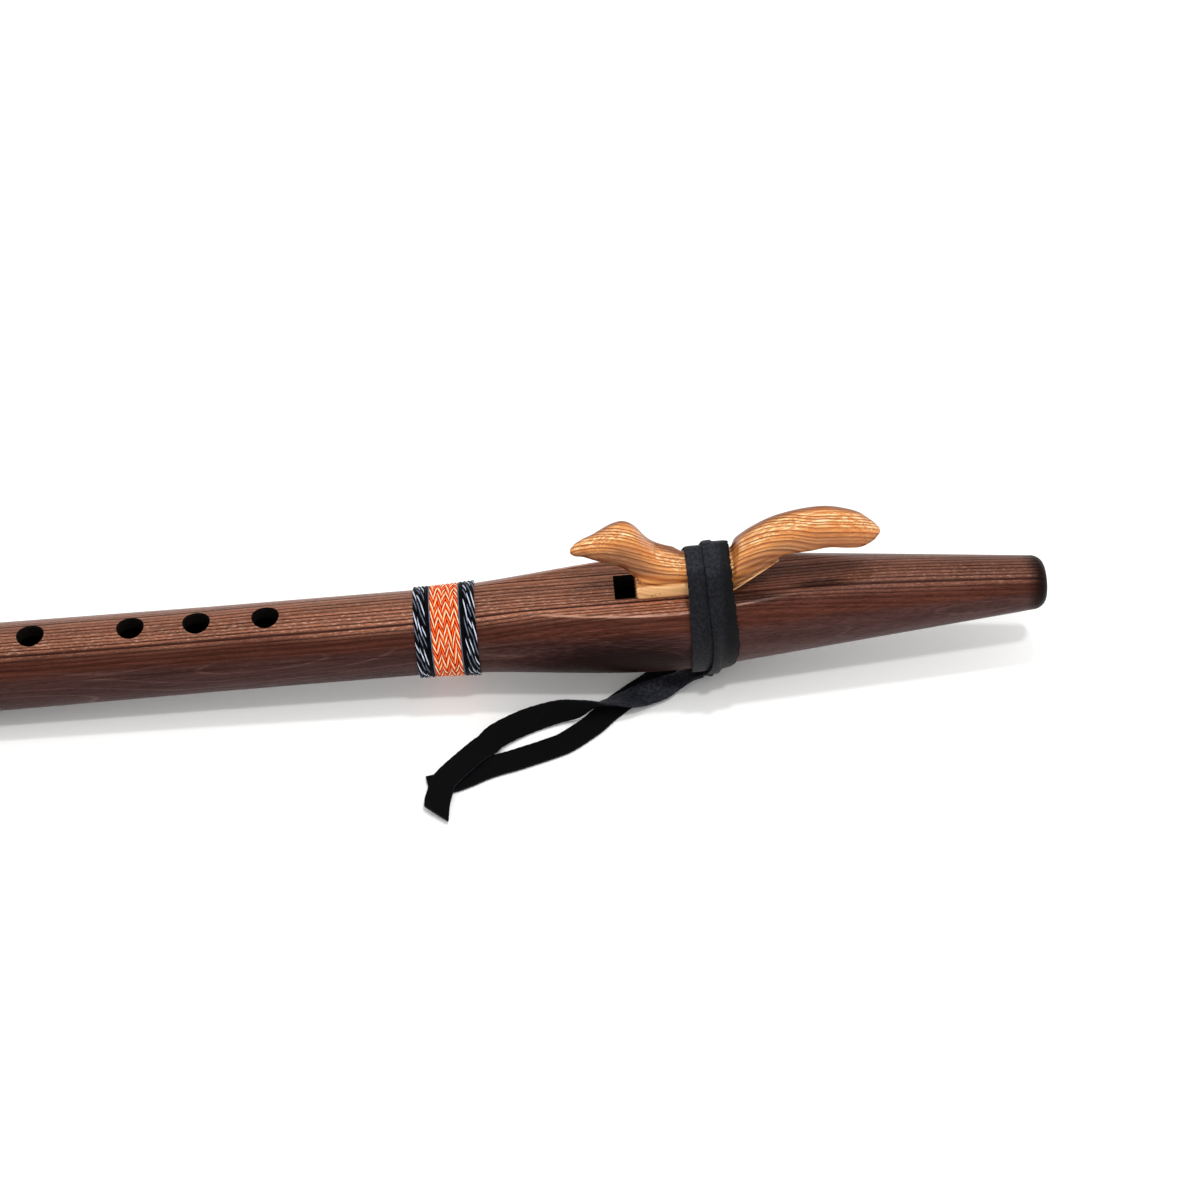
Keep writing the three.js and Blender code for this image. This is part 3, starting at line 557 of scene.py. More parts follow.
# Dark specks in the block's side: centre and reach in millimetres, and strength
BLOCK_SPECKS = (
    ((374.8, -7.1, 17.8), (0.5, 0.5, 0.36), 0.9),
    ((376.0, -7.1, 18.1), (0.4, 0.5, 0.32), 0.9),
    ((377.8, -7.1, 18.5), (0.45, 0.5, 0.36), 0.6),
)


def swept_place(finish, place):
    """Places measured down from the sweep of the carving, for grain that bends with it"""
    x, y, z = finish.split(place)
    sweep = finish.calc("ADD", finish.spread(x, *HEAD_SWEEP), finish.spread(x, *TAIL_SWEEP))
    sweep = finish.calc("ADD", sweep, finish.spread(x, *TIP_SWEEP))
    return finish.joined(x, y, finish.calc("SUBTRACT", z, sweep))


def carving_shadows(finish, place, wood, facing, slant, low_down):
    """Painted shade on the far side, where the carving turns under, on the slanted rear face under the tail, in a
    painted groove that is not cut, and in the hollow above the strip
    """
    block = bpy.context.scene.flute_block
    x, y, z = finish.split(place)
    far_side_shade = finish.spread(facing[1], *FACING_FAR)
    rim = finish.calc("MAXIMUM", far_side_shade, finish.spread(y, *FAR_HALF))
    wood = finish.paint(wood, rim, block.shade_and_speck_colour)
    under = finish.times(
        finish.spread(facing[2], *FACING_DOWN), finish.spread(z, *UNDERSIDE_BEGINS),
        finish.spread(x, *TAIL_UNDERSIDE))
    wood = finish.paint(wood, under, block.shade_and_speck_colour)
    rise = finish.times(finish.spread(slant, *SLANT_SHADOW), low_down, SLANT_SHADOW_SHARE)
    wood = finish.paint(wood, rise, block.shade_and_speck_colour)
    groove = finish.times(finish.between(slant, *SLANT_GROOVE), low_down, SLANT_GROOVE_SHARE)
    wood = finish.paint(wood, groove, block.line_colour)
    hollow = finish.between(z, *(strip_top() + height for height in HOLLOW_HEIGHTS))
    return finish.paint(wood, finish.times(hollow, HOLLOW_SHARE), block.line_colour)


def carving_highlight_streaks(finish, place, along, line, facing):
    """How much painted highlight shows as pale streaks, mostly where the carving faces up on its near side"""
    lit = finish.times(
        finish.spread(facing[2], *FACING_UP), finish.spread(facing[1], *FACING_NEAR),
        finish.spread(finish.split(place)[1], *NEAR_HALF))
    streaks = finish.spread(finish.grain(along, BLOCK_HIGHLIGHT_STREAKS, 2.0), *BLOCK_HIGHLIGHT_STRENGTH)
    return finish.times(streaks, finish.rest(line), finish.spread(lit, *BLOCK_STREAKS_BY_LIGHT))


def strip_share(finish, place, slant, low_down):
    """Where the uncarved sides of the foot strip and of the slanted face's rim lie"""
    _, y, z = finish.split(place)
    side = finish.spread(finish.calc("ABSOLUTE", y), *STRIP_SIDE)
    limits = (strip_top() + height for height in STRIP_EDGE_HEIGHTS)
    below = finish.spread(z, *limits, 1.0, 0.0)
    strip = finish.times(side, below, finish.spread(slant, *STRIP_ENDS))
    rim = finish.times(finish.spread(slant, *SLANT_RIM), low_down)
    return finish.calc("MAXIMUM", strip, finish.times(side, rim))


def ring_grained_tan():
    """Oiled tan wood of the block, with painted shade on the far side and where the carving turns under, a painted
    highlight on top, and pale on the foot
    """
    block = bpy.context.scene.flute_block
    finish = new_finish("oiled_tan_wood")
    place = finish.place()
    along = swept_place(finish, place)
    line, fibre, pores = growth(finish, along, *BLOCK_RINGS)
    facing = finish.split(finish.node("ShaderNodeNewGeometry", {}).outputs["Normal"])
    slant = finish.calc("SUBTRACT", finish.along(place, RISE_SLANT), rise_place())
    low_down = finish.spread(finish.split(place)[2], *SLANT_ENDS)
    line_share = finish.times(line, BLOCK_LINE_SHARE)
    wood = finish.paint(block.wood_colour, line_share, block.line_colour)
    tones = finish.grain(along, BLOCK_TONES, 2.0)
    wood = finish.paint(wood, finish.spread(tones, *BLOCK_WARM_TONES), block.warm_colour)
    # Painted shade of the carving
    wood = carving_shadows(finish, place, wood, facing, slant, low_down)
    light = finish.spread(fibre, *BLOCK_FIBRE_LIGHT)
    wood = finish.shaded(wood, light)
    wood = finish.paint(wood, finish.times(pores, BLOCK_PORE_SHARE), block.line_colour)
    # Painted highlight along the grain where the carving faces up on its near side
    streaks = carving_highlight_streaks(finish, place, along, line, facing)
    wood = finish.paint(wood, streaks, block.glint_colour)
    pale = finish.shaded(block.strip_colour, light)
    pale = finish.paint(pale, finish.times(line, STRIP_LINE_SHARE), block.line_colour)
    strip = finish.times(strip_share(finish, place, slant, low_down), STRIP_SHARE)
    wood = finish.mix(strip, wood, pale)
    waver = finish.times(fibre, SPECK_WAVER)
    wood = finish.with_dark_marks(wood, place, BLOCK_SPECKS, block.shade_and_speck_colour, waver)
    raised, sunk = finish.times(fibre, BLOCK_FIBRE_RELIEF), finish.times(line, BLOCK_LINE_RELIEF)
    normal = finish.bump(finish.calc("SUBTRACT", raised, sunk), WOOD_RELIEF)
    gloss = finish.spread(fibre, *BLOCK_GLOSS)
    return finish.shader(Base_Color=wood, Roughness=gloss, Normal=normal, Specular_IOR_Level=0.27)


# Leather: noise as [scale, detail, roughness], and what it turns into
CREASES = (0.9, 4.0, 0.6)
NAP = (7.0, 3.0, 0.7)
PEBBLE_SCALE = 2.4
PEBBLE_SHARE = 0.5
LINT = (1.6, 2.0)
LINT_STRETCH = (0.6, 1.5, 1.0)
LINT_STRENGTH = (0.755, 0.79, 0.0, 0.4)
LINT_COLOUR = (0.34, 0.34, 0.36)
POLISH_LIMITS = (0.38, 0.64)
POLISH_LIGHT = (0.55, 1.6)
NAP_LIGHT = (0.3, 0.7, 0.5, 1.6)
LEATHER_GLOSS = (0.0, 1.0, 0.45, 0.95)
LEATHER_RELIEF = 0.00025

# Light on the strap's crown, and shade on its second turn, from and to in millimetres
STRAP_CROWN_LIGHT = (25, 29.5, 1.0, 1.9)
SECOND_TURN_SHADE = (399, 402, 1.0, 0.25)


def leather(name, worn=1.0):
    """Black lace leather. The suede mark is 1 on the rough side and 0 on the smooth one, which is
    lighter the more it is worn."""
    strap = bpy.context.scene.flute_strap
    finish = new_finish(name)
    place = finish.place()
    x, _, z = finish.split(place)
    mark = finish.node("ShaderNodeAttribute", {}, attribute_name="suede").outputs["Fac"]
    cell_inputs = {"Vector": place, "Scale": PEBBLE_SCALE, "Randomness": 1.0}
    cells = finish.node("ShaderNodeTexVoronoi", cell_inputs).outputs[0]
    crease, nap = finish.noise(place, *CREASES), finish.noise(place, *NAP)
    lint = finish.noise(finish.scaled(place, LINT_STRETCH), *LINT)
    crown = finish.times(finish.spread(z, *STRAP_CROWN_LIGHT), finish.spread(x, *SECOND_TURN_SHADE))
    light = (worn * limit for limit in POLISH_LIGHT)
    # Worn creases, and painted light on the strap's crown
    wear_and_crown_light = finish.times(finish.spread(crease, *POLISH_LIMITS, *light), crown)
    smooth = finish.shaded(strap.grain_colour, wear_and_crown_light)
    rough = finish.shaded(strap.suede_colour, finish.spread(nap, *NAP_LIGHT))
    rough = finish.paint(rough, finish.spread(lint, *LINT_STRENGTH), LINT_COLOUR)
    hide = finish.mix(mark, smooth, rough)
    pebbles = finish.calc("MULTIPLY_ADD", cells, PEBBLE_SHARE, crease)
    pebbles = finish.times(pebbles, finish.rest(mark))
    normal = finish.bump(finish.calc("MULTIPLY_ADD", nap, mark, pebbles), LEATHER_RELIEF)
    gloss = finish.spread(mark, *LEATHER_GLOSS, smooth=False)
    return finish.shader(Base_Color=hide, Roughness=gloss, Normal=normal, Specular_IOR_Level=0.09)


# Thread, in the same form
THREAD_FUZZ = (6.0, 3.0, 0.7)
THREAD_FUZZ_LIGHT = (0.25, 0.75, 0.7, 1.25)
THREAD_WEAR = (0.7, 2.0)
THREAD_WEAR_LIGHT = (0.3, 0.7, 0.8, 1.15)
THREAD_RELIEF = 0.00006


def thread(colour_name, shine, glint):
    """A ply of thread in one of the bands' colours, with its fine fibres and its wear"""
    shade = getattr(bpy.context.scene.flute_band, colour_name)
    finish = new_finish(f"{colour_name}_thread")
    place = finish.place()
    fuzz, worn = finish.noise(place, *THREAD_FUZZ), finish.noise(place, *THREAD_WEAR)
    tone = finish.shaded(shade, finish.times(
        finish.spread(fuzz, *THREAD_FUZZ_LIGHT), finish.spread(worn, *THREAD_WEAR_LIGHT)))
    normal = finish.bump(fuzz, THREAD_RELIEF)
    return finish.shader(Base_Color=tone, Roughness=shine, Normal=normal, Specular_IOR_Level=glint)


# Table, where the glow begins and is full at these distances in metres
TABLE_SPECKS = (90.0, 2.0)
TABLE_SPECK_STRENGTH = (0.3, 0.7, 0.0, 0.03)
TABLE_SPECK_COLOUR = (0.93, 0.93, 0.93)
TABLE_GLOW = (0.55, 1.6, 0.0, 0.16)


def table_top():
    """White table whose shadows stay, and which the camera sees as white as the sky far away"""
    finish = new_finish("white_table")
    coordinates = finish.node("ShaderNodeTexCoord", {}).outputs["Object"]
    specks = finish.spread(finish.noise(coordinates, *TABLE_SPECKS), *TABLE_SPECK_STRENGTH)
    white = bpy.context.scene.flute_stage.floor_colour
    top = finish.paint(white, specks, TABLE_SPECK_COLOUR)
    seen = finish.node("ShaderNodeLightPath", {}).outputs["Is Camera Ray"]
    glow = finish.times(finish.spread(finish.reach(coordinates), *TABLE_GLOW), seen)
    return finish.shader(Base_Color=top, Roughness=0.8, Specular_IOR_Level=0.1,
                         Emission_Color=linear(white), Emission_Strength=glow)


# Meshes

# Angles between faces above which they are shaded apart
BODY_CREASE = 35
CUT_CREASE = 30
BLOCK_CREASE = 38
SOFT_CREASE = 60


def set_down(points):
    """Points in the flute's own axes, placed as the leaning flute lies"""
    turn = np.array((ALONG, ACROSS, UPWARD))
    return np.asarray(points, float) @ turn + np.array(FOOT)


def face_outward(mesh):
    """Turns the faces of a closed mesh outward"""
    work = bmesh.new()
    work.from_mesh(mesh)
    bmesh.ops.recalc_face_normals(work, faces=work.faces)
    work.to_mesh(mesh)
    work.free()


def smooth_over(mesh, crease):
    mesh.polygons.foreach_set("use_smooth", [True] * len(mesh.polygons))
    mesh.set_sharp_from_angle(angle=math.radians(crease))


def make_piece(name, points, faces, materials, crease=BODY_CREASE, kinds=None, closed=True):
    """A piece of the given points and faces. Kinds gives the number of each face's material."""
    mesh = bpy.data.meshes.new(name)
    mesh.from_pydata([tuple(p) for p in points], [], [tuple(f) for f in faces])
    if closed:
        face_outward(mesh)
    for material in materials:
        mesh.materials.append(material)
    if kinds is not None:
        mesh.polygons.foreach_set("material_index", kinds)
    smooth_over(mesh, crease)
    mesh.validate()
    piece = bpy.data.objects.new(name, mesh)
    bpy.context.scene.collection.objects.link(piece)
    return piece


def fit_piece(piece, body, slot, *nodes):
    """Lets a piece ride on its body and stand for its CAD nodes"""
    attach(piece, body)
    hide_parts(*nodes)


def ring_faces(rows, count, first=0, endless=False):
    """Faces between rings of points, one ring a row, the last joined to the first if endless"""
    faces = []
    for i in range(rows if endless else rows - 1):
        near, far = first + i * count, first + (i + 1) % rows * count
        for j in range(count):
            after = (j + 1) % count
            faces.append((near + j, near + after, far + after, far + j))
    return faces


def tube_faces(rows, count, first=0):
    """Faces of a tube of rings with flat ends"""
    faces = ring_faces(rows, count, first)
    for start in (first, first + (rows - 1) * count):
        faces.append([start + j for j in range(count)])
    return faces


def apply_modifiers(piece):
    graph = bpy.context.evaluated_depsgraph_get()
    mesh = bpy.data.meshes.new_from_object(piece.evaluated_get(graph))
    piece.modifiers.clear()
    old = piece.data
    piece.data = mesh
    bpy.data.meshes.remove(old)


def join_or_cut(piece, other, operation):
    """Joins another piece to a piece or cuts it away, and uses it up"""
    modifier = piece.modifiers.new("cut", "BOOLEAN")
    modifier.operation = operation
    modifier.object = other
    modifier.solver = "MANIFOLD"
    modifier.material_mode = "TRANSFER"
    bpy.context.view_layer.update()
    apply_modifiers(piece)
    mesh = other.data
    bpy.data.objects.remove(other)
    bpy.data.meshes.remove(mesh)


def box_piece(x0, x1, y0, y1, z0, z1, material):
    """A box in the flute's own axes, for cutting"""
    corners = [(x, y, z) for x in (x0, x1) for y in (y0, y1) for z in (z0, z1)]
    faces = [(0, 1, 3, 2), (4, 6, 7, 5), (0, 4, 5, 1), (2, 3, 7, 6), (0, 2, 6, 4), (1, 5, 7, 3)]
    return make_piece("cutter", set_down(corners), faces, [material])


# Body

FLARE_START = 0.210
SWELL_START = 0.288
SWELL_PEAK = 0.381
TAPER_START = 0.411
TAPER_START_RADIUS = 0.02015
FOOT_ROUNDING = 0.002
MOUTH_ROUNDING = 0.0052
MOUTH_FACE_RADIUS = 0.0056
MOUTH_HOLE_RADIUS = 0.0035
AIR_CHAMBER_TAPER = 0.452
AIR_CHAMBER_END = 0.506
AIR_CHAMBER_END_RADIUS = 0.0055
NEST_EDGE_ROUNDING = 0.0007
FINGER_HOLES = (0.092, 0.1185, 0.145, 0.1819, 0.2063, 0.2318)

# Openings of the nest as [start, end, half width]
WINDOW = (0.3612, 0.3690, 0.0059)
EXIT_HOLE = (0.3890, 0.3970, 0.0053)
FLUE_DEPTH = 0.0012

# Cuts start at a height above the axis and overrun the wood, and their edges are a little soft
CUT_FLOOR = 0.004
CUT_OVERRUN = 0.002
EDGE_SOFTENING = 0.0004
HOLE_SOFTENING = 0.00018
NEST_LEAST_COSINE = 0.05

STATION_STEP = 0.0011
HALF_TURN_SIDES = 110
FOOT_STEPS = 7
MOUTH_STEPS = 16
BORE_STEPS = 60
HOLE_SIDES = 72

# Rim of a finger hole as shares of its softening, [wider, above the wood]
HOLE_RIM = ((0, -1.6), (0.12, -0.8), (0.45, -0.2), (1.2, 0.35))


def eased(x, start, value, slope, end, end_value, end_slope):
    """A cubic between two places, with the value, or row of values, and the slope at each"""
    span = end - start
    u = (x - start) / span
    keep = 2 * u ** 3 - 3 * u ** 2 + 1
    leave, arrive = (u ** 3 - 2 * u ** 2 + u) * span, (u ** 3 - u ** 2) * span
    return keep * value + leave * slope + (1 - keep) * end_value + arrive * end_slope


def body_radius(x):
    body = bpy.context.scene.flute_body
    taper_end = body.length - MOUTH_ROUNDING
    slope = (body.mouth_radius - TAPER_START_RADIUS) / (taper_end - TAPER_START)
    if x < FLARE_START:
        return body.foot_radius + (body.barrel_radius - body.foot_radius) * x / FLARE_START
    if x < SWELL_START:
        return body.barrel_radius
    if x < SWELL_PEAK:
        return eased(x, SWELL_START, body.barrel_radius, 0, SWELL_PEAK, body.swell_radius, 0)
    if x < TAPER_START:
        return eased(x, SWELL_PEAK, body.swell_radius, 0, TAPER_START, TAPER_START_RADIUS, slope)
    return TAPER_START_RADIUS + slope * (x - TAPER_START)


def outer_profile():
    """Stations [x, radius] of the outside, from the foot's face to the mouth's"""
    body = bpy.context.scene.flute_body
    taper_end = body.length - MOUTH_ROUNDING
    stations = []
    for i in range(FOOT_STEPS + 1):
        turn = math.pi / 2 * i / FOOT_STEPS
        x = FOOT_ROUNDING * (1 - math.cos(turn))
        stations.append((x, body_radius(x) - FOOT_ROUNDING * (1 - math.sin(turn))))
    steps = int((taper_end - FOOT_ROUNDING) / STATION_STEP)
    for i in range(1, steps):
        x = FOOT_ROUNDING + (taper_end - FOOT_ROUNDING) * i / steps
        stations.append((x, body_radius(x)))
    for i in range(MOUTH_STEPS + 1):
        turn = math.pi / 2 * i / MOUTH_STEPS
        radius = MOUTH_FACE_RADIUS + (body.mouth_radius - MOUTH_FACE_RADIUS) * math.cos(turn)
        stations.append((taper_end + MOUTH_ROUNDING * math.sin(turn), radius))
    return stations


def inner_profile():
    """Stations of the bore, the air chamber and the mouth hole, back from the mouth's face"""
    body = bpy.context.scene.flute_body
    soft = EDGE_SOFTENING
    stations = [(body.length, MOUTH_HOLE_RADIUS + soft), (body.length - soft, MOUTH_HOLE_RADIUS)]
    stations.append((AIR_CHAMBER_END + soft, MOUTH_HOLE_RADIUS))
    stations.append((AIR_CHAMBER_END, AIR_CHAMBER_END_RADIUS))
    stations.append((AIR_CHAMBER_TAPER, body.bore_radius))
    for i in range(1, BORE_STEPS):
        stations.append((AIR_CHAMBER_TAPER * (1 - i / BORE_STEPS), body.bore_radius))
    stations += [(soft, body.bore_radius), (0, body.bore_radius + soft)]
    return stations


def nest_limit(radius, turn):
    """Radius cut off by the flat nest, with a softly rounded edge. The turn is from the top."""
    nest = bpy.context.scene.flute_body.barrel_radius
    flat = nest / max(math.cos(turn), NEST_LEAST_COSINE)
    gap = flat - radius
    soft = NEST_EDGE_ROUNDING
    rounded = (radius + flat - math.sqrt(gap * gap + soft * soft)) / 2
    return rounded + soft * soft / (4 * max(abs(gap), soft))


def body_half(name, top, wood, char):
    """One half of the body, split along the bore, before its holes are cut"""
    outer, inner = outer_profile(), inner_profile()
    count = len(outer) + len(inner)
    points = []
    for j in range(HALF_TURN_SIDES + 1):
        turn = -math.pi / 2 + math.pi * j / HALF_TURN_SIDES
        sin, cos = math.sin(turn), math.cos(turn)
        for i, (x, radius) in enumerate(outer + inner):
            if top and i < len(outer) and x > SWELL_START:
                radius = nest_limit(radius, turn)
            points.append((x, radius * sin, radius * cos if top else -radius * cos))
    faces = ring_faces(HALF_TURN_SIDES + 1, count)
    kinds = [1 if len(outer) <= i % count < count - 1 else 0 for i in range(len(faces))]
    faces.append(list(range(count)))
    faces.append([HALF_TURN_SIDES * count + i for i in range(count)])
    return make_piece(name, set_down(points), faces, [wood, char], kinds=kinds + [0, 0])


def finger_hole_cutter(x, char):
    """A round cutter whose rim flares where it leaves the wood, so that the hole's edge is soft"""
    body = bpy.context.scene.flute_body
    surface, radius, soft = body_radius(x), body.hole_radius, HOLE_SOFTENING
    rings = [(radius, -surface)]
    rings += [(radius + soft * wider, rise * soft) for wider, rise in HOLE_RIM]
    rings.append((rings[-1][0], CUT_OVERRUN))
    points = []
    for reach, rise in rings:
        for j in range(HOLE_SIDES):
            turn = 2 * math.pi * j / HOLE_SIDES
            y = reach * math.sin(turn)
            skin = math.sqrt(surface ** 2 - y * y)
            height = skin + rise if rise > -surface else CUT_FLOOR
            points.append((x + reach * math.cos(turn), y, height))
    return make_piece("cutter", set_down(points), tube_faces(len(rings), HOLE_SIDES), [char])


def finish_bore_divider():
    """The glued plug between the sound bore and the air chamber, deep inside"""
    node = frame["nodes"]["bore_divider"]
    node.data.materials.clear()
    node.data.materials.append(bpy.data.materials["oiled_walnut"])


class FLUTE_OT_body(bpy.types.Operator):
    """Make the two halves of the body with their bore, nest and holes"""
    bl_idname = "flute.body"
    bl_label = "Flute Body"

    def execute(self, context):
        wood, char = walnut(), charred_and_shaded_wood()
        lower = body_half("body_lower", False, wood, char)
        upper = body_half("body_upper", True, wood, char)
        for x in FINGER_HOLES:
            join_or_cut(upper, finger_hole_cutter(x, char), "DIFFERENCE")
        nest = context.scene.flute_body.barrel_radius
        over = nest + CUT_OVERRUN
        flue = (WINDOW[1] - EDGE_SOFTENING, EXIT_HOLE[0] + EDGE_SOFTENING, EXIT_HOLE[2])
        cuts = ((WINDOW, CUT_FLOOR, char), (EXIT_HOLE, CUT_FLOOR, char))
        cuts += ((flue, nest - FLUE_DEPTH, wood),)
        for (start, end, half), floor, inside in cuts:
            cutter = box_piece(start, end, -half, half, floor, over, inside)
            join_or_cut(upper, cutter, "DIFFERENCE")
        smooth_over(upper.data, CUT_CREASE)
        fit_piece(lower, FLUTE_BODY, "body_wood", "body_lower_half")
        fit_piece(upper, FLUTE_BODY, "body_wood", "body_upper_half")
        finish_bore_divider()
        return {"FINISHED"}


# Block

BLOCK_HEAD_LENGTH = 0.0234
SEAT_GAP = 0.0003
BLOCK_FRONT = WINDOW[1] + SEAT_GAP
BLOCK_BASE_LENGTH = 0.0364
BLOCK_STRIP_HEIGHT = 0.0061
BLOCK_RISE_LENGTH = 0.0176
BLOCK_RISE_HEIGHT = 0.0152
BLOCK_NECK_HALF_WIDTH = 0.0062
BLOCK_EDGE_BAND = 0.0015
BLOCK_EDGE_HALF_WIDTH = 0.0066
BLOCK_EDGE_BEVEL = 0.0006
BLOCK_BEVEL_ANGLE = 60
BLOCK_STRIP_OVERLAP = 0.004
BLOCK_BAND_OVERLAP = 0.006
BLOCK_LIFT = 0.00005
BLOCK_TRAVEL = 0.001
BLOCK_STATIONS = 150
BLOCK_STATION_CROWDING = 0.35
BLOCK_SECTION_SIDES = 48
BLOCK_SECTION_POWER = 2.6
BLOCK_LEAST_WIDTH_SHARE = 0.05
BLOCK_LEAST_HEIGHT_SHARE = 0.012
BLOCK_VOXEL = 0.00042
BLOCK_SANDING_SHARE = 0.5
BLOCK_SANDING_ROUNDS = 8

# Shares of the slanted rear face at which the taper of its edge band ends and starts
BLOCK_EDGE_SHARES = (0.94, 0.55)

# Outline of the neck between strip and carving: a corner of the base, and the way from it
NECK_OUTLINE = (
    ("front", 0.0009, 0.002), ("rear", 0.0004, 0.002), ("tip", -0.0014, -0.0003),
    ("tip", 0.0014, 0.0043), ("tip", -0.0081, 0.0038), ("rear", 0.001, 0.011),
    ("front", 0.0024, 0.0115),
)

# Stations of the carved block from snout to tail tip: shares of its length, of its height above
# the nest for the top and the underside, and of its half width
BLOCK_STATION_SHARES = (
    (0, 0.68, 0.63, 0.12), (0.011, 0.72, 0.61, 0.27), (0.04, 0.785, 0.605, 0.43),
    (0.074, 0.83, 0.56, 0.61), (0.1, 0.88, 0.53, 0.75), (0.133, 0.954, 0.485, 0.86),
    (0.173, 0.995, 0.385, 0.93), (0.197, 0.96, 0.27, 0.95), (0.219, 0.872, 0.17, 0.96),
    (0.239, 0.748, 0.13, 0.96), (0.26, 0.642, 0.12, 0.97), (0.298, 0.535, 0.12, 0.97),
    (0.342, 0.465, 0.12, 0.97), (0.403, 0.43, 0.12, 0.97), (0.464, 0.44, 0.12, 0.97),
    (0.513, 0.473, 0.12, 0.97), (0.531, 0.523, 0.14, 0.97), (0.557, 0.617, 0.19, 0.97),
    (0.587, 0.705, 0.27, 0.97), (0.652, 0.847, 0.4, 0.95), (0.727, 0.932, 0.442, 0.95),
    (0.775, 0.958, 0.458, 0.95), (0.829, 0.956, 0.49, 0.94), (0.899, 0.885, 0.45, 0.89),
    (0.936, 0.825, 0.44, 0.79), (0.962, 0.745, 0.475, 0.63), (0.984, 0.675, 0.525, 0.43),
    (1, 0.625, 0.57, 0.18),
)

# Where the strap starts along the block, its step from turn to turn, and the notch it lies in,
# whose ends slope by [reach, widening, rise] from its floor
STRAP_START_SHARE = 0.370599
STRAP_STEP = 0.0065
SADDLE_DEPTH = 0.0119
SADDLE_ROOM = 0.00012
SADDLE_SPARE = 0.00015
SADDLE_SIDE_DEPTH = 0.001
SADDLE_CORNER_RADIUS = 0.0026
SADDLE_FRONT_SLOPE = (0.0100, 0.0030, 0.0066)
SADDLE_REAR_SLOPE = (0.0030, 0.0026, 0.0080)
SADDLE_CORNER_STEPS = 8

# Direction square to the block's slanted rear face, looking along the flute
RISE_SLANT = Vector((BLOCK_RISE_HEIGHT, 0, -BLOCK_RISE_LENGTH)).normalized()


def block_snout():
    return BLOCK_FRONT - BLOCK_HEAD_LENGTH


def strap_start():
    return block_snout() + STRAP_START_SHARE * bpy.context.scene.flute_block.length


def seat_height():
    return bpy.context.scene.flute_body.barrel_radius + SEAT_GAP


def strip_top():
    """Height of the top of the block's foot strip, in millimetres"""
    return (seat_height() + BLOCK_STRIP_HEIGHT) * MILLIMETRES


def rise_place():
    """How far along its own direction the slanted rear face lies, in millimetres"""
    corner = Vector((BLOCK_FRONT + BLOCK_BASE_LENGTH, 0, seat_height()))
    return RISE_SLANT.dot(corner) * MILLIMETRES


def smooth_table(table, t):
    """A row of a table at a share of its way along the first column, eased through the rows"""
    rows = np.array(table, float)
    i = int(np.clip(np.searchsorted(rows[:, 0], t, side="right") - 1, 0, len(rows) - 2))

    def slope(k):
        if k == 0 or k == len(rows) - 1:
            return np.zeros(rows.shape[1])
        before = (rows[k] - rows[k - 1]) / (rows[k, 0] - rows[k - 1, 0])
        after = (rows[k + 1] - rows[k]) / (rows[k + 1, 0] - rows[k, 0])
        return (before + after) / 2

    return eased(t, rows[i, 0], rows[i], slope(i), rows[i + 1, 0], rows[i + 1], slope(i + 1))


def carved_points():
    block = bpy.context.scene.flute_block
    points = []
    for i in range(BLOCK_STATIONS):
        crowded = 0.5 - 0.5 * math.cos(math.pi * i / (BLOCK_STATIONS - 1))
        even = (1 - BLOCK_STATION_CROWDING) * i / (BLOCK_STATIONS - 1)
        share = BLOCK_STATION_CROWDING * crowded + even
        _, top, under, wide = smooth_table(BLOCK_STATION_SHARES, share)
        middle = (top + under) / 2 * block.height + seat_height()
        tall = max((top - under) / 2, BLOCK_LEAST_HEIGHT_SHARE) * block.height
        for j in range(BLOCK_SECTION_SIDES):
            turn = 2 * math.pi * (j + 0.5) / BLOCK_SECTION_SIDES
            across, up = (
                math.copysign(abs(value) ** (2 / BLOCK_SECTION_POWER), value)
                for value in (math.cos(turn), math.sin(turn)))
            y = across * max(wide, BLOCK_LEAST_WIDTH_SHARE) * block.width / 2
            points.append((block_snout() + share * block.length, y, middle + up * tall))
    return points


def side_cut(name, outline, half_width, bevel=0.0):
    """A board cut to an outline of [x, z], foot first, as thick as twice its half width"""
    count = len(outline)
    points = [(x, side * half_width, z) for side in (-1, 1) for x, z in outline]
    faces = [(j, (j + 1) % count, (j + 1) % count + count, j + count) for j in range(count)]
    faces += [list(range(count)), list(range(count, 2 * count))]
    piece = make_piece(name, set_down(points), faces, [])
    if bevel:
        modifier = piece.modifiers.new("edges", "BEVEL")
        modifier.width = bevel
        modifier.segments = 1
        modifier.limit_method = "ANGLE"
        modifier.angle_limit = math.radians(BLOCK_BEVEL_ANGLE)
        bpy.context.view_layer.update()
        apply_modifiers(piece)
    return piece


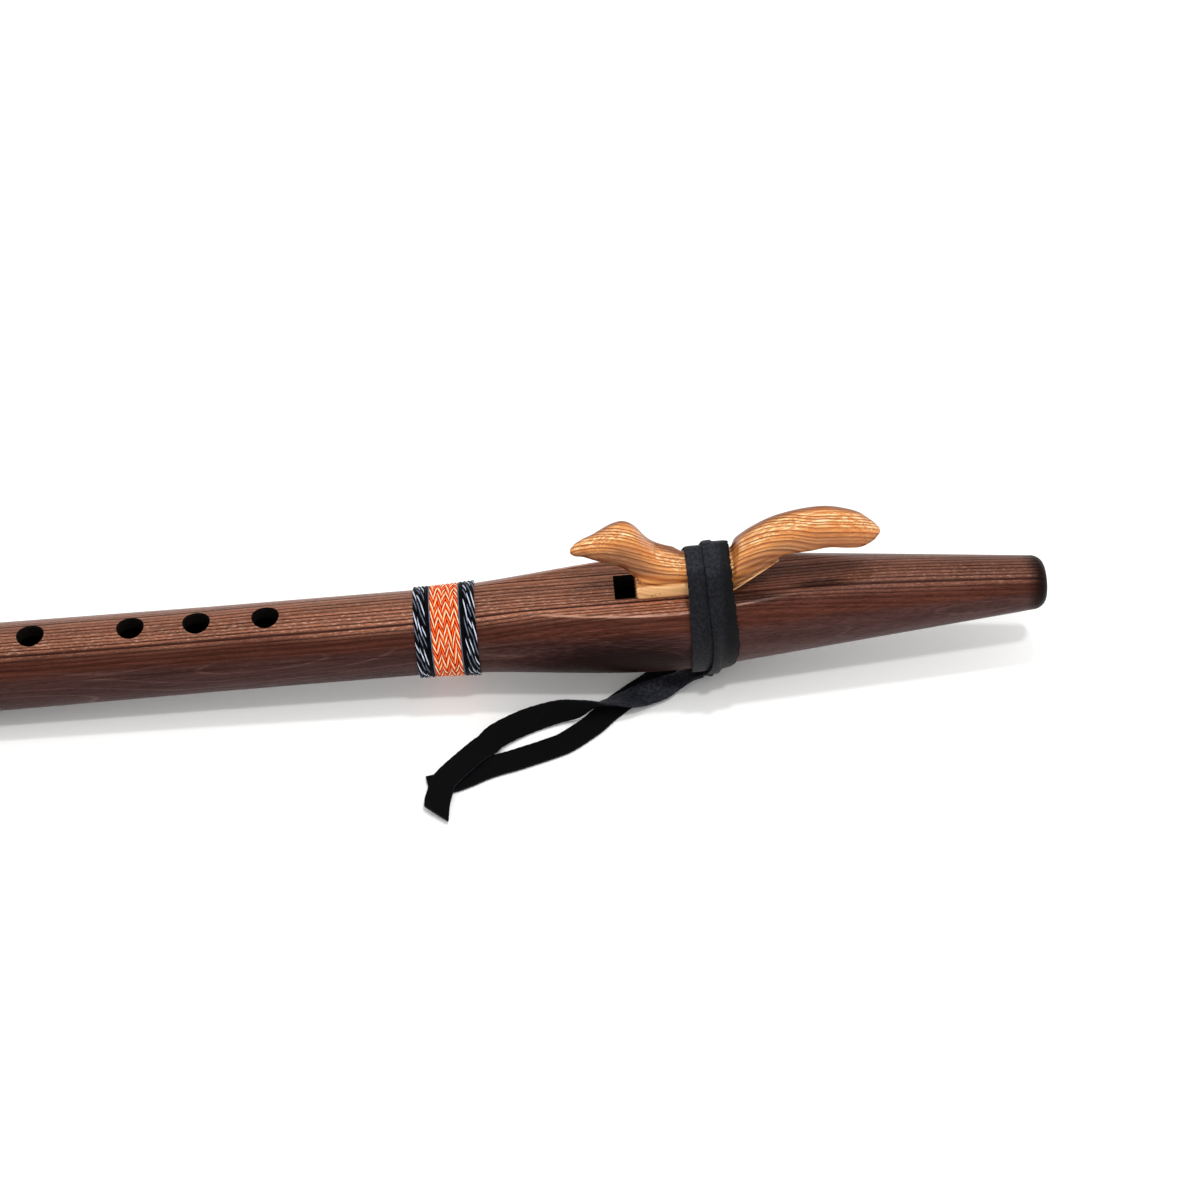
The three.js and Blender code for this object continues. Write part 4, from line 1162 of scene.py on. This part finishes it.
def saddle_cutter(room, front_slope=None, rear_slope=None):
    """The notch that the strap lies in, less the rounded neck that it leaves. Each slope gives how
    an end of the notch runs out, and without one that end is square."""
    block = bpy.context.scene.flute_block
    strap = bpy.context.scene.flute_strap
    x0 = strap_start() - BLOCK_TRAVEL - room
    x1 = strap_start() + STRAP_STEP + strap.width + BLOCK_TRAVEL + room
    low = seat_height() + BLOCK_STRIP_HEIGHT
    corner = SADDLE_CORNER_RADIUS
    stations = [(x0, 0, 0), (x1, 0, 0)]
    if front_slope:
        stations.insert(0, (x0 - front_slope[0], front_slope[1], front_slope[2]))
    if rear_slope:
        stations.append((x1 + rear_slope[0], rear_slope[1], rear_slope[2]))
    points = []
    for x, widening, rise in stations:
        half = block.width / 2 - SADDLE_SIDE_DEPTH + widening
        top = seat_height() + SADDLE_DEPTH + rise
        loop = [(-half, low)]
        for side, start in ((-1, math.pi), (1, math.pi / 2)):
            for i in range(SADDLE_CORNER_STEPS + 1):
                turn = start - math.pi / 2 * i / SADDLE_CORNER_STEPS
                y = side * (half - corner) + corner * math.cos(turn)
                loop.append((y, top - corner + corner * math.sin(turn)))
        over = seat_height() + 2 * block.height
        beside = block.width
        loop += [(half, low), (beside, low), (beside, over), (-beside, over), (-beside, low)]
        points += [(x, y, z) for y, z in loop]
    return make_piece("cutter", set_down(points), tube_faces(len(stations), len(loop)), [])


class FLUTE_OT_block(bpy.types.Operator):
    """Carve the block that sits on the nest"""
    bl_idname = "flute.block"
    bl_label = "Carved Block"

    def execute(self, context):
        wood = ring_grained_tan()
        half = context.scene.flute_block.width / 2
        seat = seat_height() - SEAT_GAP + BLOCK_LIFT
        front, rear = BLOCK_FRONT, BLOCK_FRONT + BLOCK_BASE_LENGTH
        corners = {"front": (front, seat), "rear": (rear, seat)}
        corners["tip"] = (rear + BLOCK_RISE_LENGTH, seat + BLOCK_RISE_HEIGHT)
        faces = tube_faces(BLOCK_STATIONS, BLOCK_SECTION_SIDES)
        carved = make_piece("carved_block", set_down(carved_points()), faces, [wood])
        outline = [(corners[key][0] + x, corners[key][1] + z) for key, x, z in NECK_OUTLINE]
        join_or_cut(carved, side_cut("neck", outline, BLOCK_NECK_HALF_WIDTH), "UNION")
        wide_cutter = saddle_cutter(
            SADDLE_ROOM + SADDLE_SPARE, SADDLE_FRONT_SLOPE, SADDLE_REAR_SLOPE)
        join_or_cut(carved, wide_cutter, "DIFFERENCE")
        modifier = carved.modifiers.new("blend", "REMESH")
        modifier.mode = "VOXEL"
        modifier.voxel_size = BLOCK_VOXEL
        modifier = carved.modifiers.new("sand", "SMOOTH")
        modifier.factor = BLOCK_SANDING_SHARE
        modifier.iterations = BLOCK_SANDING_ROUNDS
        bpy.context.view_layer.update()
        apply_modifiers(carved)
        hidden, top = rear - BLOCK_STRIP_OVERLAP, seat + BLOCK_STRIP_HEIGHT
        outline = [(front, seat), (hidden, seat), (hidden, top), (front, top)]
        join_or_cut(carved, side_cut("strip", outline, half, BLOCK_EDGE_BEVEL), "UNION")
        inset = -BLOCK_EDGE_BAND * RISE_SLANT
        run = Vector((BLOCK_RISE_LENGTH, 0, BLOCK_RISE_HEIGHT))
        end, start = run * BLOCK_EDGE_SHARES[0], run * BLOCK_EDGE_SHARES[1] + inset
        hidden = rear - BLOCK_BAND_OVERLAP
        outline = [(hidden, seat), (rear, seat)]
        outline += [(rear + step.x, seat + step.z) for step in (end, start, inset)]
        outline.append((hidden, seat + inset.z))
        band = side_cut("edge_band", outline, BLOCK_EDGE_HALF_WIDTH, BLOCK_EDGE_BEVEL)
        join_or_cut(carved, band, "UNION")
        join_or_cut(carved, saddle_cutter(SADDLE_ROOM), "DIFFERENCE")
        if not carved.data.materials:
            carved.data.materials.append(wood)
        smooth_over(carved.data, BLOCK_CREASE)
        fit_piece(carved, BLOCK_BODY, "block_wood", "totem_block")
        return {"FINISHED"}


# Strap

# Parts of the wound strap's way, in degrees round the body from straight down
STRAP_RUN = (-14, 706)
CLIMB_RUN = (321, 343)
SHIFT_RUN = (340, 440)
BULGE_RUNS = ((560, 612), (620, 672))
RETURN_RUN = (640, 700)
GATHER_RUN = (650, 706)
TUCK_RUN = (677, 700)

# How far the second turn strays on the near side, and its share of the width at the knot
BULGE = 0.0014
GATHERED_SHARE = 0.66

# Shares of the way from the top down to where the strap meets the body: it lies flat on the
# block up to the first and bends round the block's edge up to the second
CROWN_SHARE = 0.25
SPAN_SHARE = 0.7

# The second turn keeps a share of a layer over the block, loses it between two angles from the
# top, and comes down on to the wood over a short way past the first turn's edge
FLAT_CROWN = 0.65
CROWN_ANGLES = (40, 75)
STEP_DOWN = (0.0002, 0.0022)

TURN_GAP = 0.00012
STRAP_LIFT = 0.0001
STRAP_STEPS = 1500
LACE_POINTS = 13
LACE_EDGE_DROP = 0.45
LACE_EDGE_POWER = 7
EDGE_RAG = 0.00011
EDGE_RAG_POWER = 6
EDGE_RAG_PHASES = (1.3, 4.0)
SERRATION = 3.6

# Waves in a ragged edge: size, rate along it, and share of the phase
RAG_WAVES = ((0.5, 0.83, 1), (0.35, 1.57, 2.1), (0.3, 0.19, 1))

# Routes of the loose ends from the knot: place along and across the flute, height above the
# table, and how far the leather is rolled about its length
UPPER_END_ROUTE = (
    (-0.0015, -0.0075, 0.0034, 18), (-0.0065, -0.0091, 0.0034, 12), (-0.0125, -0.0121, 0.0034, -8),
    (-0.017, -0.0146, 0.0041, -26), (-0.0235, -0.0166, 0.0044, -17), (-0.03, -0.0192, 0.0049, 8),
    (-0.036, -0.0208, 0.006, 32), (-0.041, -0.0219, 0.0065, 49), (-0.0485, -0.0237, 0.0069, 88),
    (-0.0575, -0.0237, 0.0056, 113), (-0.0685, -0.026, 0.0042, 132), (-0.0795, -0.0308, 0.0033, 158),
    (-0.084, -0.0352, 0.0035, 172), (-0.0872, -0.0375, 0.0035, 180), (-0.094, -0.0439, 0.0035, 180),
    (-0.1005, -0.051, 0.0035, 180), (-0.1022, -0.056, 0.0035, 180), (-0.1033, -0.0602, 0.0032, 180),
    (-0.104, -0.0653, 0.0026, 180),
)
LOWER_END_ROUTE = (
    (-0.003, 0.0035, 0.001, 0), (-0.008, 0.0025, 0.001, 0), (-0.014, -0.0024, 0.001, 0),
    (-0.0204, -0.008, 0.001, 0), (-0.0283, -0.0136, 0.001, 0), (-0.0377, -0.021, 0.001, 0),
    (-0.0448, -0.0277, 0.001, 0), (-0.0546, -0.0347, 0.001, 0), (-0.062, -0.0377, 0.001, 0),
    (-0.074, -0.0416, 0.001, 0), (-0.0837, -0.0443, 0.001, 0), (-0.0921, -0.0479, 0.001, 0),
    (-0.0973, -0.0498, 0.001, 0), (-0.1066, -0.0515, 0.001, 0),
)

# Loose ends: name, node, route, length, phase of the ragged edge, how far the cut at the tip runs
# back across the width, and whether the rough side is up
LOOSE_ENDS = (
    ("loose_end_upper", "strap_end_upper", UPPER_END_ROUTE, 0.127, 0.7, -0.006, False),
    ("loose_end_lower", "strap_end_lower", LOWER_END_ROUTE, 0.120, 2.9, 0.0, True),
)
LOOSE_END_WEAR = 2.5
LOOSE_STEPS = 420
ROUTE_STEP = 0.01
TIP_RUN = 2.6
LOOSE_RAG = 0.018
LOOSE_RAG_SHIFT = 2

# How far the near edge of a loose end is drawn in at the knot, and over which rows of its route
KNOT_PINCH = 0.5
KNOT_PINCH_RUN = (0.5, 4.5)


def smoothstep(value, low, high):
    u = min(max((value - low) / (high - low), 0.0), 1.0)
    return u * u * (3 - 2 * u)


def strap_place(angle, offset, radius):
    """Point and outward direction (y, z) of the strap at an angle from straight down"""
    block = bpy.context.scene.flute_block
    bend_radius = SADDLE_CORNER_RADIUS
    corner_y = block.width / 2 - SADDLE_SIDE_DEPTH - bend_radius
    corner = Vector((corner_y, seat_height() + SADDLE_DEPTH - bend_radius))
    wrap = math.atan2(corner.x, corner.y) + math.acos((radius - bend_radius) / corner.length)
    side = -1 if math.sin(angle) < 0 else 1
    from_top = math.acos(max(-1.0, min(1.0, -math.cos(angle))))
    if from_top >= wrap:
        outward = Vector((math.sin(from_top), math.cos(from_top)))
        base = outward * radius
    else:
        tangent = Vector((math.sin(wrap), math.cos(wrap)))
        share = from_top / wrap
        if share > SPAN_SHARE:
            top = corner + tangent * bend_radius
            base = top.lerp(tangent * radius, (share - SPAN_SHARE) / (1 - SPAN_SHARE))
            outward = tangent
        elif share > CROWN_SHARE:
            bend = wrap * (share - CROWN_SHARE) / (SPAN_SHARE - CROWN_SHARE)
            outward = Vector((math.sin(bend), math.cos(bend)))
            base = corner + outward * bend_radius
        else:
            outward = Vector((0, 1))
            base = Vector((corner.x * share / CROWN_SHARE, corner.y + bend_radius))
    base = base + outward * offset
    return side * base.x, base.y, side * outward.x, outward.y


def lace_section(wide, thick):
    """Points round a strip of lace, [across, out], with rounded corners and a slight crown"""
    points = []
    for side in (1, -1):
        for i in range(LACE_POINTS):
            share = side * (1 - 2 * i / (LACE_POINTS - 1))
            edge = 1 - LACE_EDGE_DROP * abs(share) ** LACE_EDGE_POWER
            points.append((share * wide / 2, side * thick / 2 * edge))
    return points


def ragged(i, phase):
    """Small unevenness of a cut leather edge"""
    return sum(size * math.sin(i * rate + share * phase) for size, rate, share in RAG_WAVES)


def strap_wrap_points():
    strap = bpy.context.scene.flute_strap
    layer = strap.thickness + TURN_GAP
    first_edge = strap_start() + strap.width
    points, marks = [], []
    section = lace_section(strap.width, strap.thickness)
    for i in range(STRAP_STEPS + 1):
        degrees = STRAP_RUN[0] + (STRAP_RUN[1] - STRAP_RUN[0]) * i / STRAP_STEPS
        second = degrees > SHIFT_RUN[1]
        from_top = abs((degrees % 360) - 180)
        stiff = FLAT_CROWN * (1 - smoothstep(from_top, *CROWN_ANGLES))
        layers = smoothstep(degrees, *CLIMB_RUN) + smoothstep(degrees, *TUCK_RUN)
        x = strap_start() + strap.width / 2 + STRAP_STEP * smoothstep(degrees, *SHIFT_RUN)
        x -= STRAP_STEP / 2 * smoothstep(degrees, *RETURN_RUN)
        x += BULGE * (smoothstep(degrees, *BULGE_RUNS[0]) - smoothstep(degrees, *BULGE_RUNS[1]))
        gather = 1 + (GATHERED_SHARE - 1) * smoothstep(degrees, *GATHER_RUN)
        for wide, thick in section:
            rough = EDGE_RAG * ragged(i, EDGE_RAG_PHASES[0 if wide > 0 else 1])
            rough *= abs(2 * wide / strap.width) ** EDGE_RAG_POWER
            if wide > 0 and second:
                rough *= SERRATION
            along = x + wide * gather + rough
            past = 1 - smoothstep(along - first_edge, *STEP_DOWN)
            offset = strap.thickness / 2 + STRAP_LIFT + layer * layers * max(past, stiff)
            y, z, out_y, out_z = strap_place(math.radians(degrees), offset, body_radius(along))
            points.append((along, y + thick * out_y, z + thick * out_z))
            marks.append(0.0 if thick > 0 else 1.0)
    return points, marks


def mark_suede(piece, marks):
    attribute = piece.data.attributes.new("suede", "FLOAT", "POINT")
    attribute.data.foreach_set("value", marks)


class FLUTE_OT_strap(bpy.types.Operator):
    """Wind the leather strap twice round the block and the body"""
    bl_idname = "flute.strap"
    bl_label = "Leather Strap"

    def execute(self, context):
        points, marks = strap_wrap_points()
        faces = tube_faces(STRAP_STEPS + 1, len(points) // (STRAP_STEPS + 1))
        black = leather("black_lace_leather")
        wrap = make_piece("strap_turns", set_down(points), faces, [black], SOFT_CREASE)
        mark_suede(wrap, marks)
        fit_piece(wrap, FLUTE_BODY, "strap_leather", "strap_wrap")
        return {"FINISHED"}


def knot_centre():
    """Where the loose ends leave from, at the height of the table"""
    low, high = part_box("strap_knot")
    middle = (low + high) / 2
    return Vector((middle.x, middle.y, 0))


def route_point(route, t):
    """A route's row at a place along it, on a smooth curve through its points"""
    rows = np.array(route, float)
    rows = np.vstack([2 * rows[0] - rows[1], rows, 2 * rows[-1] - rows[-2]])
    i = min(int(t), len(rows) - 4)
    u = t - i
    a, b, c, d = rows[i:i + 4]
    square, cube = 2 * a - 5 * b + 4 * c - d, 3 * b - a - 3 * c + d
    return 0.5 * (2 * b + (c - a) * u + square * u ** 2 + cube * u ** 3)


def loose_end(material, name, node, route, lace_length, waver, slant, rough_up):
    """A loose end of the lace, lying on the table, as a ribbon with a smooth and a rough side"""
    strap = bpy.context.scene.flute_strap
    knot = knot_centre()
    section = lace_section(strap.width, strap.thickness)
    points, marks, path = [], [], []
    last = len(route) - 1
    for i in range(LOOSE_STEPS + 1):
        t = last * i / LOOSE_STEPS
        x, y, z, roll = route_point(route, t)
        before = route_point(route, max(t - ROUTE_STEP, 0))
        after = route_point(route, min(t + ROUTE_STEP, last))
        ahead = Vector((after - before)[:3]).normalized()
        flat = Vector((-ahead.y, ahead.x, 0)).normalized()
        up = ahead.cross(flat)
        roll = math.radians(roll)
        across = flat * math.cos(roll) + up * math.sin(roll)
        out = ahead.cross(across)
        centre = Vector((x, y, z)) + knot
        path.append(centre)
        cut = slant * smoothstep(t, last - TIP_RUN, last)
        pinch = 1 - KNOT_PINCH * (1 - smoothstep(t, *KNOT_PINCH_RUN))
        for wide, thick in section:
            wide *= pinch if wide > 0 else 1
            rough = 1 + LOOSE_RAG * ragged(i, waver if wide > 0 else waver + LOOSE_RAG_SHIFT)
            point = centre + across * wide * rough + out * thick
            points.append(point + ahead * cut * wide / strap.width)
            marks.append(0.0 if (thick > 0) != rough_up else 1.0)
    faces = tube_faces(LOOSE_STEPS + 1, len(section))
    piece = make_piece(name, points, faces, [material], SOFT_CREASE)
    mark_suede(piece, marks)
    fit_piece(piece, FLUTE_BODY, "strap_leather", node)


class FLUTE_OT_strap_ends(bpy.types.Operator):
    """Lay the two loose ends of the strap on the table"""
    bl_idname = "flute.strap_ends"
    bl_label = "Loose Strap Ends"

    def execute(self, context):
        black = leather("black_lace_leather_ends", LOOSE_END_WEAR)
        for end in LOOSE_ENDS:
            loose_end(black, *end)
        return {"FINISHED"}


# Bands of the knot: place along the flute, reach across it, and turn in degrees
KNOT_BANDS = ((0.0, 0.0074, 12), (0.0022, 0.0066, -24), (-0.0026, 0.0060, 30))
KNOT_STEPS = 40
KNOT_WIDTH_SHARE = 0.72
KNOT_THICKNESS_SHARE = 0.8
KNOT_INSET_SHARE = 0.4
KNOT_SPARE = 0.00002


class FLUTE_OT_knot(bpy.types.Operator):
    """Tie the knot under the body"""
    bl_idname = "flute.knot"
    bl_label = "Strap Knot"

    def execute(self, context):
        strap = context.scene.flute_strap
        low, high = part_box("strap_knot")
        centre = (low + high) / 2
        tall = (high.z - low.z) / 2
        inset = strap.thickness * KNOT_INSET_SHARE
        limit = tall - KNOT_SPARE
        section = lace_section(
            strap.width * KNOT_WIDTH_SHARE, strap.thickness * KNOT_THICKNESS_SHARE)
        points, faces, marks = [], [], []
        for shift, reach, swing in KNOT_BANDS:
            faces += ring_faces(KNOT_STEPS, len(section), len(points), endless=True)
            turn = Matrix.Rotation(math.radians(swing), 3, "Z")
            for i in range(KNOT_STEPS):
                angle = 2 * math.pi * i / KNOT_STEPS
                out = Vector((0, math.cos(angle), math.sin(angle)))
                place = Vector((shift, out.y * (reach - inset), out.z * (tall - inset)))
                for wide, thick in section:
                    point = turn @ (place + Vector((wide, out.y * thick, out.z * thick)))
                    point.z = max(-limit, min(limit, point.z))
                    points.append(centre + point)
                    marks.append(0.0 if thick > 0 else 1.0)
        black = bpy.data.materials["black_lace_leather"]
        knot = make_piece("strap_tie", points, faces, [black], SOFT_CREASE)
        mark_suede(knot, marks)
        fit_piece(knot, FLUTE_BODY, "strap_leather", "strap_knot")
        return {"FINISHED"}


# Thread bands

LOOP_STEPS = 180
STEP_OVER = 0.35
THREAD_LIFT = 0.00005
PLY_SIDES = 8
PLY_WIDTH_SHARE = 0.36
PLY_THICKNESS_SHARE = 0.5
EDGE_THREAD = 0.00045
EDGE_THREAD_HEIGHT = 0.0007
EDGE_THREAD_HALF_THICKNESS = 0.0004
EDGE_THREAD_SIDES = 10

# Twists of each loop, left or right handed by their sign, and of a loop of plain black
BRIGHT_TWISTS = (-8.6, 10.4, -9.7, 11.2, -8.9, 10.0, -10.8)
GREY_TWISTS = (-8.9, -10.2, -9.5)
PLAIN_LOOP_TWISTS = 3

# Uneven twist: strength, rate along a loop, and phase from loop to loop
STRAY_TWISTS = ((0.9, 2.3, 1.7), (0.5, 5.1, 0.6))

# Threads of the bands: name of their colour, roughness, and how much they glint
BRIGHT_THREADS = (("red", 0.55, 0.12), ("orange", 0.55, 0.12), ("cream", 0.5, 0.12))
GREY_THREADS = (("black", 0.5, 0.05), ("grey", 0.45, 0.12), ("silver", 0.4, 0.12))

# Each ply's place in the list of its band's threads
GREY_PLIES = (0, 0, 2, 0, 0, 1, 0)
BRIGHT_PLIES = (0, 2, 0, 1, 0, 2, 1)


def ring_point(along, angle, reach):
    """A point on a ring round the bore, at an angle from straight down"""
    return along, math.sin(angle) * reach, -math.cos(angle) * reach


def wound_band(name, start, width, twists, plies, materials, node, slot):
    """A band of twisted thread wound in flat loops, each stepping over to the next underneath.
    Twists gives the number of twists of each loop, or 0 for a loop of plain black. Plies gives the
    material of each ply."""
    loops = len(twists)
    steps = loops * LOOP_STEPS
    column = width / loops
    half_wide, half_thick = column / 2, bpy.context.scene.flute_band.thickness / 2
    ply_wide, ply_thick = half_wide * PLY_WIDTH_SHARE, half_thick * PLY_THICKNESS_SHARE
    points, faces, kinds = [], [], []
    for k, kind in enumerate(plies):
        first = len(points)
        phase = 2 * math.pi * k / len(plies)
        for i in range(steps + 1):
            angle = 2 * math.pi * i / LOOP_STEPS
            loop = min(i // LOOP_STEPS, loops - 1)
            phase += 2 * math.pi / LOOP_STEPS * (twists[loop] or PLAIN_LOOP_TWISTS)
            crossed = sum(
                smoothstep(angle, 2 * math.pi * n - STEP_OVER, 2 * math.pi * n + STEP_OVER)
                for n in range(1, loops))
            stray = sum(
                size * math.sin(rate * angle + by * loop) for size, rate, by in STRAY_TWISTS)
            x = start + column * (0.5 + crossed)
            centre = body_radius(x) + THREAD_LIFT + half_thick
            ply_x = x + (half_wide - ply_wide) * math.cos(phase + stray)
            ply_reach = centre + (half_thick - ply_thick) * math.sin(phase + stray)
            for j in range(PLY_SIDES):
                turn = 2 * math.pi * j / PLY_SIDES
                along = ply_x + ply_wide * math.cos(turn)
                points.append(ring_point(along, angle, ply_reach + ply_thick * math.sin(turn)))
        faces += tube_faces(steps + 1, PLY_SIDES, first)
        for i in range(steps):
            kinds += [kind if twists[i // LOOP_STEPS] else 0] * PLY_SIDES
        kinds += [0, 0]
    piece = make_piece(name, set_down(points), faces, materials, SOFT_CREASE, kinds)
    fit_piece(piece, FLUTE_BODY, slot, node)


def edge_thread(name, x, material):
    """A single thin thread laid beside a band"""
    points = []
    for i in range(LOOP_STEPS):
        angle = 2 * math.pi * i / LOOP_STEPS
        for j in range(EDGE_THREAD_SIDES):
            turn = 2 * math.pi * j / EDGE_THREAD_SIDES
            along = x + EDGE_THREAD / 2 * math.cos(turn)
            centre = body_radius(x) + EDGE_THREAD_HEIGHT
            reach = centre + EDGE_THREAD_HALF_THICKNESS * math.sin(turn)
            points.append(ring_point(along, angle, reach))
    faces = ring_faces(LOOP_STEPS, EDGE_THREAD_SIDES, endless=True)
    piece = make_piece(name, set_down(points), faces, [material], SOFT_CREASE)
    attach(piece, FLUTE_BODY)


class FLUTE_OT_bands(bpy.types.Operator):
    """Wind the three thread bands round the barrel"""
    bl_idname = "flute.bands"
    bl_label = "Thread Bands"

    def execute(self, context):
        band = context.scene.flute_band
        bright = [thread(*kind) for kind in BRIGHT_THREADS]
        dull = [thread(*kind) for kind in GREY_THREADS]
        middle = band.start + band.grey_width
        right = middle + band.bright_width
        grey_width = band.grey_width - EDGE_THREAD
        wound_band("left_band", band.start, grey_width, (*GREY_TWISTS, 0),
                   GREY_PLIES, dull, "thread_band_left", "grey_thread")
        edge_thread("left_edge_thread", middle - EDGE_THREAD / 2, dull[1])
        wound_band("middle_band", middle, band.bright_width, BRIGHT_TWISTS,
                   BRIGHT_PLIES, bright, "thread_band_middle", "bright_thread")
        edge_thread("right_edge_thread", right + EDGE_THREAD / 2, dull[1])
        wound_band("right_band", right + EDGE_THREAD, grey_width, (0, *GREY_TWISTS),
                   GREY_PLIES, dull, "thread_band_right", "grey_thread")
        return {"FINISHED"}


# Stage

CAMERA_PLACE = Vector((0.05932, -0.61935, 0.73124))
SENSOR_WIDTH = 36
FLOOR_SIZE = 8.0
FLOOR_DROP = 0.00012
FLOOR_CORNERS = ((-1, -1), (1, -1), (1, 1), (-1, 1))

# Lamps: place, size and power in watts
LAMPS = (
    ((0.28, 0.12, 1.5), 0.12, 5.9),
    ((0.38, -0.42, 1.5), 0.12, 5.9),
)


class FLUTE_OT_stage(bpy.types.Operator):
    """Set the camera, the lamps and the white table"""
    bl_idname = "flute.stage"
    bl_label = "Stage"

    def execute(self, context):
        scene = context.scene
        stage = scene.flute_stage
        camera = bpy.data.objects.new("camera", bpy.data.cameras.new("camera"))
        scene.collection.objects.link(camera)
        camera.data.lens = stage.lens
        camera.data.sensor_width = SENSOR_WIDTH
        camera.location = CAMERA_PLACE
        turn = Matrix.Rotation(math.radians(-stage.azimuth), 4, "Z")
        tilt = Matrix.Rotation(math.radians(90 - stage.elevation), 4, "X")
        tip = Matrix.Rotation(math.radians(stage.roll), 4, "Z")
        camera.rotation_euler = (turn @ tilt @ tip).to_euler()
        camera.data.dof.use_dof = False
        scene.camera = camera
        half = FLOOR_SIZE / 2
        corners = [(x * half, y * half, -FLOOR_DROP) for x, y in FLOOR_CORNERS]
        floor = make_piece("table_top", corners, [(0, 1, 2, 3)], [table_top()], closed=False)
        for i, (place, size, power) in enumerate(LAMPS):
            light = bpy.data.lights.new(f"lamp_{i + 1}", "AREA")
            lamp = bpy.data.objects.new(light.name, light)
            scene.collection.objects.link(lamp)
            light.shape = "DISK"
            light.size = size
            light.energy = power
            lamp.location = place
            lamp.rotation_euler = (-Vector(place)).to_track_quat("-Z", "Y").to_euler()
        world = bpy.data.worlds.new("daylight")
        scene.world = world
        sky = Finish(world)
        rays = sky.node("ShaderNodeLightPath", {}).outputs
        seen = sky.calc("MAXIMUM", rays["Is Camera Ray"], rays["Is Glossy Ray"])
        seen = sky.calc("MAXIMUM", seen, rays["Is Transmission Ray"])
        strength = sky.spread(seen, 0.0, 1.0, stage.daylight, 1.0, smooth=False)
        background = sky.node("ShaderNodeBackground", {"Color": (1, 1, 1, 1), "Strength": strength})
        output = sky.node("ShaderNodeOutputWorld", {})
        sky.tree.links.new(background.outputs[0], output.inputs[0])
        scene.view_settings.view_transform = "Standard"
        return {"FINISHED"}


class FLUTE_PT_panel(bpy.types.Panel):
    """Buttons that make the flute piece by piece"""
    bl_label = "Wooden Flute"
    bl_idname = "FLUTE_PT_panel"
    bl_space_type = "VIEW_3D"
    bl_region_type = "UI"
    bl_category = "Flute"

    def draw(self, context):
        for operator in OPERATORS:
            self.layout.operator(operator.bl_idname)
        for name in SETTINGS:
            settings = getattr(context.scene, name)
            box = self.layout.box()
            for field in settings.__annotations__:
                box.prop(settings, field)


OPERATORS = (
    FLUTE_OT_stage, FLUTE_OT_strap_ends, FLUTE_OT_body, FLUTE_OT_block, FLUTE_OT_strap,
    FLUTE_OT_knot, FLUTE_OT_bands,
)
SETTINGS = {
    "flute_body": FluteBodySettings,
    "flute_block": FluteBlockSettings,
    "flute_strap": FluteStrapSettings,
    "flute_band": FluteBandSettings,
    "flute_stage": FluteStageSettings,
}


def register():
    for name, group in SETTINGS.items():
        bpy.utils.register_class(group)
        setattr(bpy.types.Scene, name, PointerProperty(type=group))
    for operator in OPERATORS:
        bpy.utils.register_class(operator)
    bpy.utils.register_class(FLUTE_PT_panel)


def unregister():
    bpy.utils.unregister_class(FLUTE_PT_panel)
    for operator in reversed(OPERATORS):
        bpy.utils.unregister_class(operator)
    for name, group in SETTINGS.items():
        delattr(bpy.types.Scene, name)
        bpy.utils.unregister_class(group)


def main():
    register()
    bpy.ops.flute.stage()
    bpy.ops.flute.strap_ends()
    bpy.ops.flute.body()
    bpy.ops.flute.block()
    bpy.ops.flute.strap()
    bpy.ops.flute.knot()
    bpy.ops.flute.bands()


if __name__ == "__main__":
    main()
